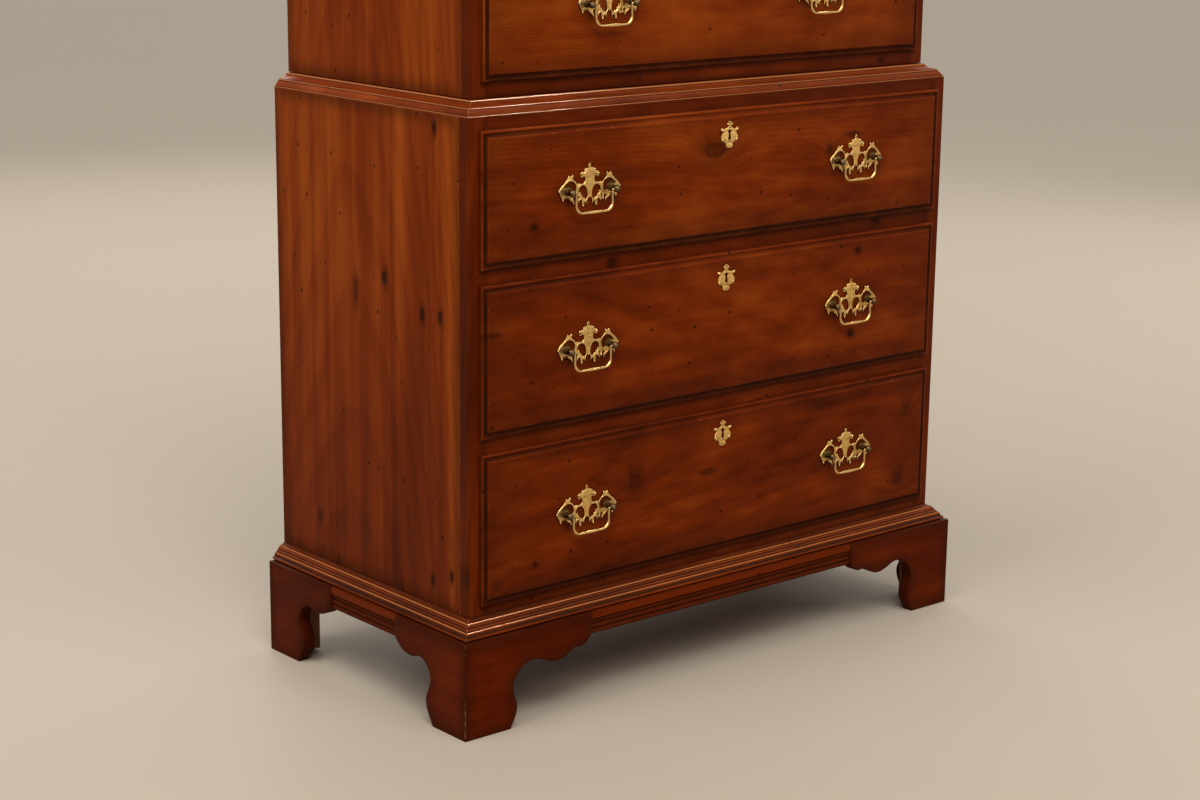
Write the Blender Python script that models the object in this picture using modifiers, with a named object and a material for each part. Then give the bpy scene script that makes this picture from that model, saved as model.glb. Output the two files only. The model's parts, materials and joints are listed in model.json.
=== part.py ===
"""A highboy of the chest-on-chest kind: two pine cases, seven lipped drawers and brass bail pulls.

Metres, +Z up, and the front faces -Y. The origin is on the floor, under the middle of the footprint.
"""

import math

import bmesh
import bpy
from mathutils import Matrix

GAP = 0.0003  # left between two pieces that touch
JOIN = 0.001  # how far glued pieces of one node run into each other

# Lower case
CASE_WIDTH = 0.960
CASE_DEPTH = 0.480
SIDE_BOARD = 0.019
FRAME_THICK = 0.020
BACK_THICK = 0.008
BACK_LAP = 0.009  # how far the back board laps into each side board

# Base: feet, apron and moulded base board
FOOT_HEIGHT = 0.145
FOOT_REACH = 0.0285  # past the walls of the lower case, at the front and the sides
FOOT_THICK = 0.020
FRONT_FOOT_LENGTH = 0.235
SIDE_FOOT_LENGTH = 0.170
REAR_BRACKET_LENGTH = 0.130
FOOT_BLOCK = 0.036
BLOCK_LIFT = 0.004
APRON_HEIGHT = 0.035
APRON_CORE = 0.014
APRON_BAND = 0.011  # height of the flat band above the reeds
APRON_SETBACK = 0.0015
REED_COUNT = 3
REED_RISE = 0.0022
BASE_THICK = 0.026
BASE_REACH = 0.0225

# Waist and upper case
WAIST_THICK = 0.0215
UPPER_SIDE_SETBACK = 0.0255
UPPER_FRONT_SETBACK = 0.0286
CORNICE_HEIGHT = 0.052
CORNICE_REACH = 0.036
TOP_THICK = 0.019
TOP_REACH = 0.046

# Drawer heights over their lips, and the frame that shows between them
LOWER_BOTTOM_HEIGHT = 0.224
LOWER_MIDDLE_HEIGHT = 0.220
LOWER_TOP_HEIGHT = 0.194
UPPER_BOTTOM_HEIGHT = 0.200
UPPER_MIDDLE_HEIGHT = 0.180
UPPER_TOP_HEIGHT = 0.150
LOWER_BOTTOM_RAIL = 0.0145
UPPER_BOTTOM_RAIL = 0.0215
RAIL = 0.0215
TOP_RAIL = 0.018
STILE = 0.018
CENTRE_STILE = 0.0215

# Drawers
LIP_LAP = 0.010  # how far a front laps over the frame on each side
LIP_PROUD = 0.008
LIP_EDGE = 0.0032
LIP_MOULDING = 0.0095
LIP_FILLET = 0.0013
CORE_DEPTH = 0.012  # the part of a front that stands inside the frame
CORE_CLEARANCE = 0.0015
TRAY_INSET = 0.001
TRAY_SIDE = 0.012
TRAY_FLOOR = 0.006
TRAY_FLOOR_LIFT = 0.009
TRAY_DROP = 0.014  # top of the tray's sides below the top of its opening
TRAY_REAR_CLEARANCE = 0.012

# Runners
RUN_CLEARANCE = 0.0004
LEDGE_THICK = 0.016
LEDGE_WIDTH = 0.024
GUIDE_RISE = 0.018

# Pulls and escutcheons
LOWER_PULL_INSET = 0.191  # from the drawer's end to the middle of the pull
UPPER_PULL_INSET = 0.2225
POST_SPACING = 0.082
POST_RADIUS = 0.0022
BALL_RADIUS = 0.0055
COLLAR_RADIUS = 0.0048
COLLAR_THICK = 0.0012
NUT_RADIUS = 0.005
NUT_THICK = 0.003
PIVOT_OUT = 0.0128  # bail axis in front of the drawer's face
PLATE_THICK = 0.0023
BAIL_DROP = 0.030
BAIL_CORNER = 0.012
BAIL_LEG_RADIUS = 0.0017
BAIL_BAR_RADIUS = 0.0026
BAIL_ELBOW = 0.002
ESCUTCHEON_HALF_HEIGHT = 0.0203
ESCUTCHEON_THICK = 0.0016
KEYHOLE_DROP = 0.0385  # below the drawer's upper edge
KEYHOLE_DEPTH = 0.008
ROUND_STEPS = 8
MOULDING_STEPS = 4  # facets of a quarter round

# Levels and planes that follow from the sizes above
BACK_Y = (CASE_DEPTH + FOOT_REACH) / 2
LOWER_FRONT_Y = BACK_Y - CASE_DEPTH
UPPER_FRONT_Y = LOWER_FRONT_Y + UPPER_FRONT_SETBACK
LOWER_HALF = CASE_WIDTH / 2
UPPER_HALF = LOWER_HALF - UPPER_SIDE_SETBACK
LOWER_FLOOR = FOOT_HEIGHT + BASE_THICK
PLATE_FRONT = GAP + PLATE_THICK
PIN_HOLE_RADIUS = BAIL_LEG_RADIUS + GAP
BAIL_LEG_X = POST_SPACING / 2 - BALL_RADIUS - GAP - BAIL_LEG_RADIUS
FOOT_X = LOWER_HALF + FOOT_REACH
FOOT_FRONT_Y = LOWER_FRONT_Y - FOOT_REACH
APRON_BOTTOM = FOOT_HEIGHT - APRON_HEIGHT


def stack(bottom, heights):
    """Lower and upper edge of each row of drawer lips, from the lowest row up."""
    rows = []
    for height in heights:
        rows.append((bottom, bottom + height))
        bottom += height + RAIL
    return rows


LOWER_ROWS = stack(
    LOWER_FLOOR + LOWER_BOTTOM_RAIL, (LOWER_BOTTOM_HEIGHT, LOWER_MIDDLE_HEIGHT, LOWER_TOP_HEIGHT)
)
LOWER_TOP = LOWER_ROWS[-1][1] + TOP_RAIL
UPPER_FLOOR = LOWER_TOP + WAIST_THICK
UPPER_ROWS = stack(
    UPPER_FLOOR + UPPER_BOTTOM_RAIL, (UPPER_BOTTOM_HEIGHT, UPPER_MIDDLE_HEIGHT, UPPER_TOP_HEIGHT)
)
CORNICE_BOTTOM = UPPER_ROWS[-1][1] + TOP_RAIL
UPPER_TOP = CORNICE_BOTTOM + CORNICE_HEIGHT
TOTAL_HEIGHT = UPPER_TOP + TOP_THICK

# Outlines. Each point is (across, up, kind), as a share of the size that the outline is scaled to.
CORNER = "VECTOR"
SMOOTH = "AUTO"
FRONT_SCALLOP_SHARES = (
    (0.350, 0.000, CORNER),
    (0.402, 0.200, SMOOTH),
    (0.376, 0.470, SMOOTH),
    (0.490, 0.660, SMOOTH),
    (0.730, 0.588, SMOOTH),
    (0.865, 0.680, CORNER),
    (0.940, 0.682, SMOOTH),
    (1.000, 0.780, CORNER),
    (1.000, 1.000, CORNER),
)
SIDE_SCALLOP_SHARES = (
    (0.460, 0.000, CORNER),
    (0.558, 0.235, SMOOTH),
    (0.495, 0.520, SMOOTH),
    (0.620, 0.676, SMOOTH),
    (0.770, 0.648, SMOOTH),
    (0.900, 0.680, SMOOTH),
    (1.000, 0.772, CORNER),
    (1.000, 1.000, CORNER),
)
REAR_SLANT_SHARES = (
    (0.420, 0.000, CORNER),
    (0.560, 0.380, SMOOTH),
    (1.000, 0.800, CORNER),
    (1.000, 1.000, CORNER),
)
# In half post spacings, right half, from the finial down and round to the cleft at the bottom
PLATE_EDGE = (
    (0.000, 0.965),
    (0.065, 0.820),
    (0.215, 0.765),
    (0.255, 0.645),
    (0.425, 0.585),
    (0.310, 0.470),
    (0.215, 0.400),
    (0.260, 0.300),
    (0.440, 0.290),
    (0.570, 0.230),
    (0.740, 0.420),
    (0.770, 0.600),
    (0.870, 0.500),
    (0.985, 0.565),
    (1.060, 0.390),
    (1.400, 0.050),
    (1.290, -0.120),
    (1.180, -0.330),
    (1.020, -0.240),
    (0.780, -0.250),
    (0.700, -0.390),
    (0.520, -0.290),
    (0.310, -0.625),
    (0.220, -0.400),
    (0.130, -0.500),
    (0.095, -0.330),
    (0.000, -0.200),
)
PLATE_OVAL = ((0.280, -0.090), 0.150, 0.240, -14.0)  # centre, two radii and tilt
PLATE_CRESCENT = (
    (0.700, 0.030),
    (0.760, 0.270),
    (0.980, 0.350),
    (1.200, 0.200),
    (1.080, 0.170),
    (0.900, 0.140),
)
# In half heights, right half, from the finial down to the bottom lobe
ESCUTCHEON_EDGE = (
    (0.000, 1.000),
    (0.290, 0.770),
    (0.075, 0.620),
    (0.230, 0.420),
    (0.600, 0.520),
    (0.890, 0.360),
    (0.630, 0.230),
    (0.830, -0.190),
    (0.670, -0.480),
    (0.400, -0.600),
    (0.150, -0.560),
    (0.345, -0.850),
    (0.000, -1.000),
)
KEYHOLE_EDGE = ((0.000, 0.365), (0.155, 0.230), (0.090, 0.050), (0.155, -0.365))


def clear_scene():
    for obj in list(bpy.data.objects):
        bpy.data.objects.remove(obj)


def new_collection(name, hidden=False):
    collection = bpy.data.collections.new(name)
    bpy.context.scene.collection.children.link(collection)
    collection.hide_render = hidden
    return collection


def new_material(name, colour, roughness, metallic=0.0):
    material = bpy.data.materials.new(name)
    material.use_nodes = True
    shader = material.node_tree.nodes["Principled BSDF"]
    shader.inputs["Base Color"].default_value = (*colour, 1.0)
    shader.inputs["Roughness"].default_value = roughness
    shader.inputs["Metallic"].default_value = metallic
    return material


def add_object(name, mesh, matrix=None, hidden=False):
    obj = bpy.data.objects.new(name, mesh)
    (CUTTERS if hidden else PARTS).objects.link(obj)
    if hidden:
        obj.hide_render = True
        obj.display_type = "WIRE"
    if matrix:
        obj.matrix_world = matrix
    return obj


def evaluated_mesh(obj):
    """The object's mesh with its modifiers in it, welded, with its faces pointing out."""
    bpy.context.view_layer.update()
    graph = bpy.context.evaluated_depsgraph_get()
    mesh = bpy.data.meshes.new_from_object(obj.evaluated_get(graph))
    shape = bmesh.new()
    shape.from_mesh(mesh)
    bmesh.ops.remove_doubles(shape, verts=shape.verts, dist=1e-6)
    bmesh.ops.dissolve_degenerate(shape, edges=shape.edges, dist=1e-6)
    bmesh.ops.recalc_face_normals(shape, faces=shape.faces)
    shape.to_mesh(mesh)
    shape.free()
    return mesh


def drop(obj):
    data = obj.data
    bpy.data.objects.remove(obj)
    if data.users == 0 and isinstance(data, bpy.types.Mesh):
        bpy.data.meshes.remove(data)
    elif data.users == 0:
        bpy.data.curves.remove(data)


def block(name, low, high, hidden=False):
    """A box between two opposite corners."""
    shape = bmesh.new()
    bmesh.ops.create_cube(shape, size=1.0)
    size = [b - a for a, b in zip(low, high)]
    centre = [(a + b) / 2 for a, b in zip(low, high)]
    bmesh.ops.transform(
        shape, matrix=Matrix.Translation(centre) @ Matrix.Diagonal((*size, 1.0)), verts=shape.verts
    )
    mesh = bpy.data.meshes.new(name)
    shape.to_mesh(mesh)
    shape.free()
    return add_object(name, mesh, hidden=hidden)


def rod(name, start, axis, length, radius, hidden=True):
    """A cylinder from start along +X or +Y, with a corner of its outline on each axis."""
    shape = bmesh.new()
    bmesh.ops.create_cone(
        shape, cap_ends=True, segments=ROUND_STEPS, radius1=radius, radius2=radius, depth=length
    )
    turn = Matrix.Rotation(math.pi / 2, 4, "Y") if axis == "X" else Matrix.Rotation(-math.pi / 2, 4, "X")
    bmesh.ops.translate(shape, vec=(0, 0, length / 2), verts=shape.verts)
    bmesh.ops.transform(shape, matrix=Matrix.Translation(start) @ turn, verts=shape.verts)
    mesh = bpy.data.meshes.new(name)
    shape.to_mesh(mesh)
    shape.free()
    return add_object(name, mesh, hidden=hidden)


def outline(name, loops, thickness, matrix, resolution=3, hidden=False):
    """Closed loops of (across, up, kind) filled and extruded evenly about the plane of the matrix."""
    curve = bpy.data.curves.new(name, "CURVE")
    curve.dimensions = "2D"
    curve.fill_mode = "BOTH"
    curve.extrude = thickness / 2
    curve.resolution_u = resolution
    for loop in loops:
        spline = curve.splines.new("BEZIER")
        spline.bezier_points.add(len(loop) - 1)
        for point, (across, up, kind) in zip(spline.bezier_points, loop):
            point.co = (across, up, 0)
            point.handle_left_type = kind
            point.handle_right_type = kind
        spline.use_cyclic_u = True
    guide = add_object(name + "_guide", curve, matrix, hidden=True)
    mesh = evaluated_mesh(guide)
    drop(guide)
    return add_object(name, mesh, matrix, hidden=hidden)


def corners(loop):
    return [(across, up, CORNER) for across, up in loop]


def rectangle(x_low, x_high, z_low, z_high):
    return corners(((x_low, z_low), (x_high, z_low), (x_high, z_high), (x_low, z_high)))


def upright(y):
    """Plane of an outline that faces the front: across is +X and up is +Z."""
    return Matrix.Translation((0, y, 0)) @ Matrix.Rotation(math.pi / 2, 4, "X")


def sideways(x):
    """Plane of an outline that faces a side: across is +Y and up is +Z."""
    turn = Matrix.Rotation(math.pi / 2, 4, "Z") @ Matrix.Rotation(math.pi / 2, 4, "X")
    return Matrix.Translation((x, 0, 0)) @ turn


def combine(solid, others, operation):
    """Union with, or difference by, each of the others in turn. The others are used up."""
    for other in others:
        modifier = solid.modifiers.new(operation.title(), "BOOLEAN")
        modifier.operation = operation
        modifier.object = other
    mesh = evaluated_mesh(solid)
    solid.modifiers.clear()
    old, solid.data = solid.data, mesh
    bpy.data.meshes.remove(old)
    for other in others:
        drop(other)
    return solid


def grown(name, rings, hidden=False):
    """A block that grows from its first ring of corners through each of the next."""
    shape = bmesh.new()
    ends = [shape.verts.new(point) for point in rings[0]]
    cap = shape.faces.new(ends)
    for count, ring in enumerate(rings[1:]):
        made = bmesh.ops.extrude_face_region(shape, geom=[cap])
        fresh = [item for item in made["geom"] if isinstance(item, bmesh.types.BMFace)][0]
        if count:
            bmesh.ops.delete(shape, geom=[cap], context="FACES_ONLY")
        cap = fresh
        ends = [corner_at(fresh, vert.co) for vert in ends]
        for vert, point in zip(ends, ring):
            vert.co = point
    bmesh.ops.recalc_face_normals(shape, faces=shape.faces)
    mesh = bpy.data.meshes.new(name)
    shape.to_mesh(mesh)
    shape.free()
    return add_object(name, mesh, hidden=hidden)


def corner_at(face, place):
    return min(face.verts, key=lambda vert: (vert.co - place).length_squared)


def round_over(steps):
    """Points (across, up) of a convex quarter round that starts upright and ends level, each 0 to 1."""
    turns = [math.pi / 2 * step / steps for step in range(steps + 1)]
    return [(1 - math.cos(turn), math.sin(turn)) for turn in turns]


def hollow(steps):
    """Points (across, up) of a concave quarter round that starts level and ends upright."""
    return [(up, across) for across, up in round_over(steps)]


def three_sided(half, front, profile):
    """Rings of a board that is moulded at the front and both sides, from (side reach, front reach, z)."""
    return [
        [
            (-half - side, BACK_Y, z),
            (-half - side, front - ahead, z),
            (half + side, front - ahead, z),
            (half + side, BACK_Y, z),
        ]
        for side, ahead, z in profile
    ]


def finish(obj, material, parent=None):
    obj.data.materials.clear()
    obj.data.materials.append(material)
    obj.data.shade_smooth()
    obj.data.set_sharp_from_angle(angle=math.radians(32))
    if parent:
        place = obj.matrix_world.copy()
        obj.parent = parent
        obj.matrix_parent_inverse = parent.matrix_world.inverted()
        obj.matrix_world = place
    return obj


def drawer_plan():
    """Each drawer as name, lip edges across and up, frame face, pulls along X, and if it has a keyhole."""
    plan = []
    edge = LOWER_HALF - STILE
    pulls = {"_left": LOWER_PULL_INSET - edge, "_right": edge - LOWER_PULL_INSET}
    for level, row in zip(("bottom", "middle", "top"), LOWER_ROWS):
        plan.append((f"lower_{level}_drawer", (-edge, edge), row, LOWER_FRONT_Y, pulls, True))
    edge = UPPER_HALF - STILE
    pulls = {"_left": UPPER_PULL_INSET - edge, "_right": edge - UPPER_PULL_INSET}
    for level, row in zip(("bottom", "middle"), UPPER_ROWS):
        plan.append((f"upper_{level}_drawer", (-edge, edge), row, UPPER_FRONT_Y, pulls, True))
    inner = CENTRE_STILE / 2
    for side, span in {"left": (-edge, -inner), "right": (inner, edge)}.items():
        pulls = {"": sum(span) / 2}
        plan.append((f"upper_{side}_drawer", span, UPPER_ROWS[-1], UPPER_FRONT_Y, pulls, False))
    return plan


def shrunk(span, amount):
    return span[0] + amount, span[1] - amount


def tray_span(lips):
    return shrunk(lips, LIP_LAP + CORE_CLEARANCE + TRAY_INSET)


# Case


def face_frame(name, half, front, floor, top, openings):
    """Stiles and rails, as one glued frame."""
    loops = [rectangle(-half, half, floor + GAP, top)]
    for lips, row in openings:
        loops.append(rectangle(*shrunk(lips, LIP_LAP), *shrunk(row, LIP_LAP)))
    return outline(name, loops, FRAME_THICK, upright(front + FRAME_THICK / 2))


def side_with_runners(name, sign, half, front, floor, top, rows):
    """A side board with a ledge and a guide for each row of drawers, rebated for the back board."""
    guide = half - (tray_span((-half + STILE, half - STILE))[1] + RUN_CLEARANCE)
    ledge = guide + LEDGE_WIDTH
    depths = [(0, floor + GAP), (0, top), (SIDE_BOARD, top)]
    for row in reversed(rows):
        rest = row[0] + LIP_LAP
        depths += [(SIDE_BOARD, rest + GUIDE_RISE), (guide, rest + GUIDE_RISE), (guide, rest)]
        depths += [(ledge, rest), (ledge, rest - LEDGE_THICK), (SIDE_BOARD, rest - LEDGE_THICK)]
    depths.append((SIDE_BOARD, floor + GAP))
    loop = corners([(sign * (half - depth), z) for depth, z in depths])
    start = front + FRAME_THICK + GAP
    board = outline(name, [loop], BACK_Y - start, upright((start + BACK_Y) / 2))
    rebate_x = sorted((sign * (half - SIDE_BOARD + BACK_LAP), 0))
    rebate = block(
        name + "_rebate",
        (rebate_x[0], BACK_Y - BACK_THICK - GAP, floor - SIDE_BOARD),
        (rebate_x[1], BACK_Y + SIDE_BOARD, top + SIDE_BOARD),
        hidden=True,
    )
    return combine(board, [rebate], "DIFFERENCE")


def back_board(name, half, floor, top):
    reach = half - SIDE_BOARD + BACK_LAP - GAP
    return block(name, (-reach, BACK_Y - BACK_THICK, floor + GAP), (reach, BACK_Y, top))


def centre_runner(name, front, row):
    """The inverted T between the two half-width drawers, running from the frame to the back board."""
    rest = row[0] + LIP_LAP
    guide = tray_span((CENTRE_STILE / 2, UPPER_HALF))[0] - RUN_CLEARANCE
    ledge = guide + LEDGE_WIDTH
    loop = corners(
        [
            (-ledge, rest - LEDGE_THICK),
            (ledge, rest - LEDGE_THICK),
            (ledge, rest),
            (guide, rest),
            (guide, rest + GUIDE_RISE),
            (-guide, rest + GUIDE_RISE),
            (-guide, rest),
            (-ledge, rest),
        ]
    )
    start = front + FRAME_THICK - JOIN
    end = BACK_Y - BACK_THICK - GAP
    return outline(name, [loop], end - start, upright((start + end) / 2), hidden=True)


def base_board():
    """The board under the lower case, with an ovolo, a step and a quirk round three edges."""
    shares = [(1, 0)]
    shares += [(1 - 0.55 * across, 0.16 + 0.40 * up) for across, up in round_over(MOULDING_STEPS)]
    shares += [(0.40 * (1 - across), 0.62 + 0.38 * up) for across, up in round_over(MOULDING_STEPS)]
    rise = BASE_THICK - GAP
    profile = [
        (BASE_REACH * out, BASE_REACH * out, FOOT_HEIGHT + GAP + rise * up) for out, up in shares
    ]
    return grown("base_board", three_sided(LOWER_HALF, LOWER_FRONT_Y, profile))


def waist_board():
    """The top of the lower case: an ovolo, a fillet and a cove that rise to the upper case's walls."""
    shares = [(0, 0)]
    shares += [(0.02 + 0.48 * across, 0.04 + 0.56 * up) for across, up in round_over(5)]
    shares += [(0.68, 0.66)]
    shares += [(0.70 + 0.30 * across, 0.70 + 0.30 * up) for across, up in hollow(3)]
    rise = WAIST_THICK - GAP
    profile = [
        (-UPPER_SIDE_SETBACK * inset, -UPPER_FRONT_SETBACK * inset, LOWER_TOP + GAP + rise * up)
        for inset, up in shares
    ]
    return grown("waist_board", three_sided(LOWER_HALF, LOWER_FRONT_Y, profile))


def cornice():
    """A crown moulding round the top of the upper case, open at the back."""
    shares = [(0.16, 0.0), (0.16, 0.10)]
    cove = hollow(MOULDING_STEPS)
    shares += [(0.20 + 0.40 * across, 0.10 + 0.35 * up) for across, up in cove]
    shares += [(0.60 + 0.30 * up, 0.45 + 0.40 * across) for across, up in cove[1:]]
    shares += [(1.0, 0.85), (1.0, 1.0)]
    height = CORNICE_HEIGHT - GAP
    profile = [
        (CORNICE_REACH * out, CORNICE_REACH * out, CORNICE_BOTTOM + height * up) for out, up in shares
    ]
    inner, front = UPPER_HALF + GAP, UPPER_FRONT_Y - GAP
    seat = [(inner, BACK_Y), (inner, front), (-inner, front), (-inner, BACK_Y)]
    rings = [
        ring + [(x, y, ring[0][2]) for x, y in seat]
        for ring in three_sided(UPPER_HALF, UPPER_FRONT_Y, profile)
    ]
    return grown("cornice", rings)


def top_board():
    """The top, with its edge rounded over at the front and both sides."""
    round_edge = TOP_THICK / 3
    profile = [(TOP_REACH - round_edge / 2, TOP_REACH - round_edge / 2, UPPER_TOP + GAP)]
    profile.append((TOP_REACH, TOP_REACH, UPPER_TOP + round_edge / 2))
    for across, up in round_over(MOULDING_STEPS):
        reach = TOP_REACH - round_edge * across
        profile.append((reach, reach, TOTAL_HEIGHT - round_edge * (1 - up)))
    return grown("top_board", three_sided(UPPER_HALF, UPPER_FRONT_Y, profile))


# Feet and apron


def bracket_loop(scallop, start, direction, length):
    """A bracket's outline from its outer corner along one axis."""
    loop = [(start, 0, CORNER)]
    loop += [(start + direction * length * along, FOOT_HEIGHT * up, kind) for along, up, kind in scallop]
    return loop + [(start, FOOT_HEIGHT, CORNER)]


def foot(name, sign, end):
    """Two boards that meet in a corner, and the glue block behind it."""
    side_x = sign * (FOOT_X - FOOT_THICK / 2)
    if end == "front":
        face_y, inward = FOOT_FRONT_Y, 1
        loop = bracket_loop(FRONT_SCALLOP_SHARES, sign * FOOT_X, -sign, FRONT_FOOT_LENGTH)
    else:
        face_y, inward = BACK_Y, -1
        loop = bracket_loop(REAR_SLANT_SHARES, sign * FOOT_X, -sign, REAR_BRACKET_LENGTH)
    across = outline(name, [loop], FOOT_THICK, upright(face_y + inward * FOOT_THICK / 2))
    side_loop = bracket_loop(SIDE_SCALLOP_SHARES, face_y, inward, SIDE_FOOT_LENGTH)
    along = outline(name + "_side", [side_loop], FOOT_THICK, sideways(side_x), hidden=True)
    x_span = sorted(sign * (FOOT_X - depth) for depth in (FOOT_THICK / 2, FOOT_THICK + FOOT_BLOCK))
    y_span = sorted(face_y + inward * depth for depth in (FOOT_THICK / 2, FOOT_THICK + FOOT_BLOCK))
    glue_block = block(
        name + "_block",
        (x_span[0], y_span[0], BLOCK_LIFT),
        (x_span[1], y_span[1], APRON_BOTTOM - GAP),
        hidden=True,
    )
    return combine(across, [along, glue_block], "UNION")


def reeded_loop(face, inward):
    """Section of the apron strip: a flat band above a row of half-round reeds, and a plain back."""
    visible = face + inward * APRON_SETBACK
    valley = visible + inward * 2 * REED_RISE
    top = FOOT_HEIGHT
    pitch = (APRON_HEIGHT - APRON_BAND) / REED_COUNT
    loop = [(visible, top), (visible, top - APRON_BAND)]
    for reed in range(REED_COUNT):
        start = top - APRON_BAND - reed * pitch
        for step in range(MOULDING_STEPS):
            share = step / MOULDING_STEPS
            loop.append((valley - inward * REED_RISE * math.sin(math.pi * share), start - pitch * share))
    loop.append((valley, APRON_BOTTOM))
    rear = face + inward * (FOOT_THICK + APRON_CORE / 2)
    return corners(loop + [(rear, APRON_BOTTOM), (rear, top)])


def apron_frame():
    """A three-sided frame behind the feet, with a reeded strip on it between each pair of feet."""
    outer_x, outer_y = FOOT_X - FOOT_THICK - GAP, FOOT_FRONT_Y + FOOT_THICK + GAP
    inner_x, inner_y = outer_x - APRON_CORE, outer_y + APRON_CORE
    rear = BACK_Y - FOOT_THICK - GAP
    loop = corners(
        [
            (-outer_x, outer_y),
            (outer_x, outer_y),
            (outer_x, rear),
            (inner_x, rear),
            (inner_x, inner_y),
            (-inner_x, inner_y),
            (-inner_x, rear),
            (-outer_x, rear),
        ]
    )
    middle = Matrix.Translation((0, 0, FOOT_HEIGHT - APRON_HEIGHT / 2))
    frame = outline("apron_frame", [loop], APRON_HEIGHT, middle)
    length = 2 * (FOOT_X - FRONT_FOOT_LENGTH - GAP)
    strips = [outline("apron_front", [reeded_loop(FOOT_FRONT_Y, 1)], length, sideways(0), hidden=True)]
    start = FOOT_FRONT_Y + SIDE_FOOT_LENGTH + GAP
    end = BACK_Y - SIDE_FOOT_LENGTH - GAP
    for sign in (-1, 1):
        section = [reeded_loop(sign * FOOT_X, -sign)]
        strips.append(outline("apron_side", section, end - start, upright((start + end) / 2), hidden=True))
    return combine(frame, strips, "UNION")


# Drawers


def drawer_front(name, lips, row, frame_y):
    """A lipped front: a core inside the frame, then the lip with its moulded edge."""
    core = (shrunk(lips, LIP_LAP + CORE_CLEARANCE), shrunk(row, LIP_LAP + CORE_CLEARANCE))
    back = frame_y - GAP
    levels = [(core, frame_y + CORE_DEPTH), (core, back), ((lips, row), back)]
    levels.append(((lips, row), frame_y - LIP_EDGE))
    round_width = LIP_MOULDING * 0.75
    shoulder = LIP_PROUD - LIP_FILLET
    for across, up in round_over(MOULDING_STEPS)[1:]:
        inset = round_width * across
        depth = LIP_EDGE + (shoulder - LIP_EDGE) * up
        levels.append(((shrunk(lips, inset), shrunk(row, inset)), frame_y - depth))
    field = (shrunk(lips, LIP_MOULDING), shrunk(row, LIP_MOULDING))
    levels += [(field, frame_y - shoulder), (field, frame_y - LIP_PROUD)]
    rings = [
        [(x[0], y, z[0]), (x[1], y, z[0]), (x[1], y, z[1]), (x[0], y, z[1])] for (x, z), y in levels
    ]
    return grown(name + "_front", rings)


def post_holes(name, pulls, row, face_y):
    """Drills through the front for the two posts of each pull."""
    z = sum(row) / 2
    length = 3 * (LIP_PROUD + CORE_DEPTH)
    start = face_y - length / 3
    places = [x + side * POST_SPACING / 2 for x in pulls.values() for side in (-1, 1)]
    return [rod(name + "_drill", (x, start, z), "Y", length, POST_RADIUS + GAP) for x in places]


def mirrored_loop(edge, scale):
    """A whole outline from its right half, whose first and last points lie on the middle."""
    right = [(across * scale, up * scale) for across, up in edge]
    left = [(-across, up) for across, up in reversed(right[1:])]
    return corners(right + left if edge[-1][0] else right + left[1:])


def shifted(loop, across, up):
    return [(point[0] + across, point[1] + up, point[2]) for point in loop]


def keyhole_pocket(name, lips, row, face_y):
    """The blind slot in the wood behind an escutcheon's keyhole."""
    slot = mirrored_loop(KEYHOLE_EDGE, ESCUTCHEON_HALF_HEIGHT)
    loop = shifted(slot, sum(lips) / 2, row[1] - KEYHOLE_DROP)
    return outline(name + "_slot", [loop], 2 * KEYHOLE_DEPTH, upright(face_y), hidden=True)


def drawer_tray(name, lips, row, frame_y):
    """Two sides, a back and a floor that stands in grooves above their lower edges."""
    x = tray_span(lips)
    low = row[0] + LIP_LAP + RUN_CLEARANCE
    high = row[1] - LIP_LAP - TRAY_DROP
    start = frame_y + CORE_DEPTH + GAP
    end = BACK_Y - BACK_THICK - TRAY_REAR_CLEARANCE
    tray = block(name + "_tray", (x[0], start, low), (x[1], end, high))
    inside = shrunk(x, TRAY_SIDE)
    floor_low = low + TRAY_FLOOR_LIFT
    room = block(
        name + "_room",
        (inside[0], start - TRAY_SIDE, floor_low + TRAY_FLOOR),
        (inside[1], end - TRAY_SIDE, high + TRAY_SIDE),
        hidden=True,
    )
    under = block(
        name + "_under",
        (inside[0], start - TRAY_SIDE, low - TRAY_SIDE),
        (inside[1], end - TRAY_SIDE, floor_low),
        hidden=True,
    )
    return combine(tray, [room, under], "DIFFERENCE")


# Brass


def post(name, x):
    """A turned post: nut behind the front, shaft, collar on the plate and a ball that the bail turns in."""
    neck = POST_RADIUS
    sweep = math.pi - math.asin(neck / BALL_RADIUS)
    turns = [sweep * step / MOULDING_STEPS for step in range(MOULDING_STEPS + 1)]
    profile = [
        (BALL_RADIUS * math.sin(turn), PIVOT_OUT + BALL_RADIUS * math.cos(turn)) for turn in turns
    ]
    nut_front = -(LIP_PROUD + CORE_DEPTH + GAP)
    profile += [
        (neck, PLATE_FRONT + COLLAR_THICK),
        (COLLAR_RADIUS, PLATE_FRONT + COLLAR_THICK / 2),
        (COLLAR_RADIUS, PLATE_FRONT - PLATE_THICK / 2),
        (POST_RADIUS, PLATE_FRONT - PLATE_THICK / 2),
        (POST_RADIUS, nut_front),
        (NUT_RADIUS, nut_front),
        (NUT_RADIUS, nut_front - NUT_THICK),
        (0, nut_front - NUT_THICK),
    ]
    mesh = bpy.data.meshes.new(name)
    edges = [(index, index + 1) for index in range(len(profile) - 1)]
    mesh.from_pydata([(radius, 0, out) for radius, out in profile], edges, [])
    forward = Matrix.Translation((x, 0, 0)) @ Matrix.Rotation(math.pi / 2, 4, "X")
    turned = add_object(name, mesh, forward, hidden=True)
    screw = turned.modifiers.new("Screw", "SCREW")
    screw.steps = ROUND_STEPS
    screw.render_steps = ROUND_STEPS
    screw.use_merge_vertices = True
    screw.merge_threshold = 0.00001
    return combine(turned, [], "UNION")


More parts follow.
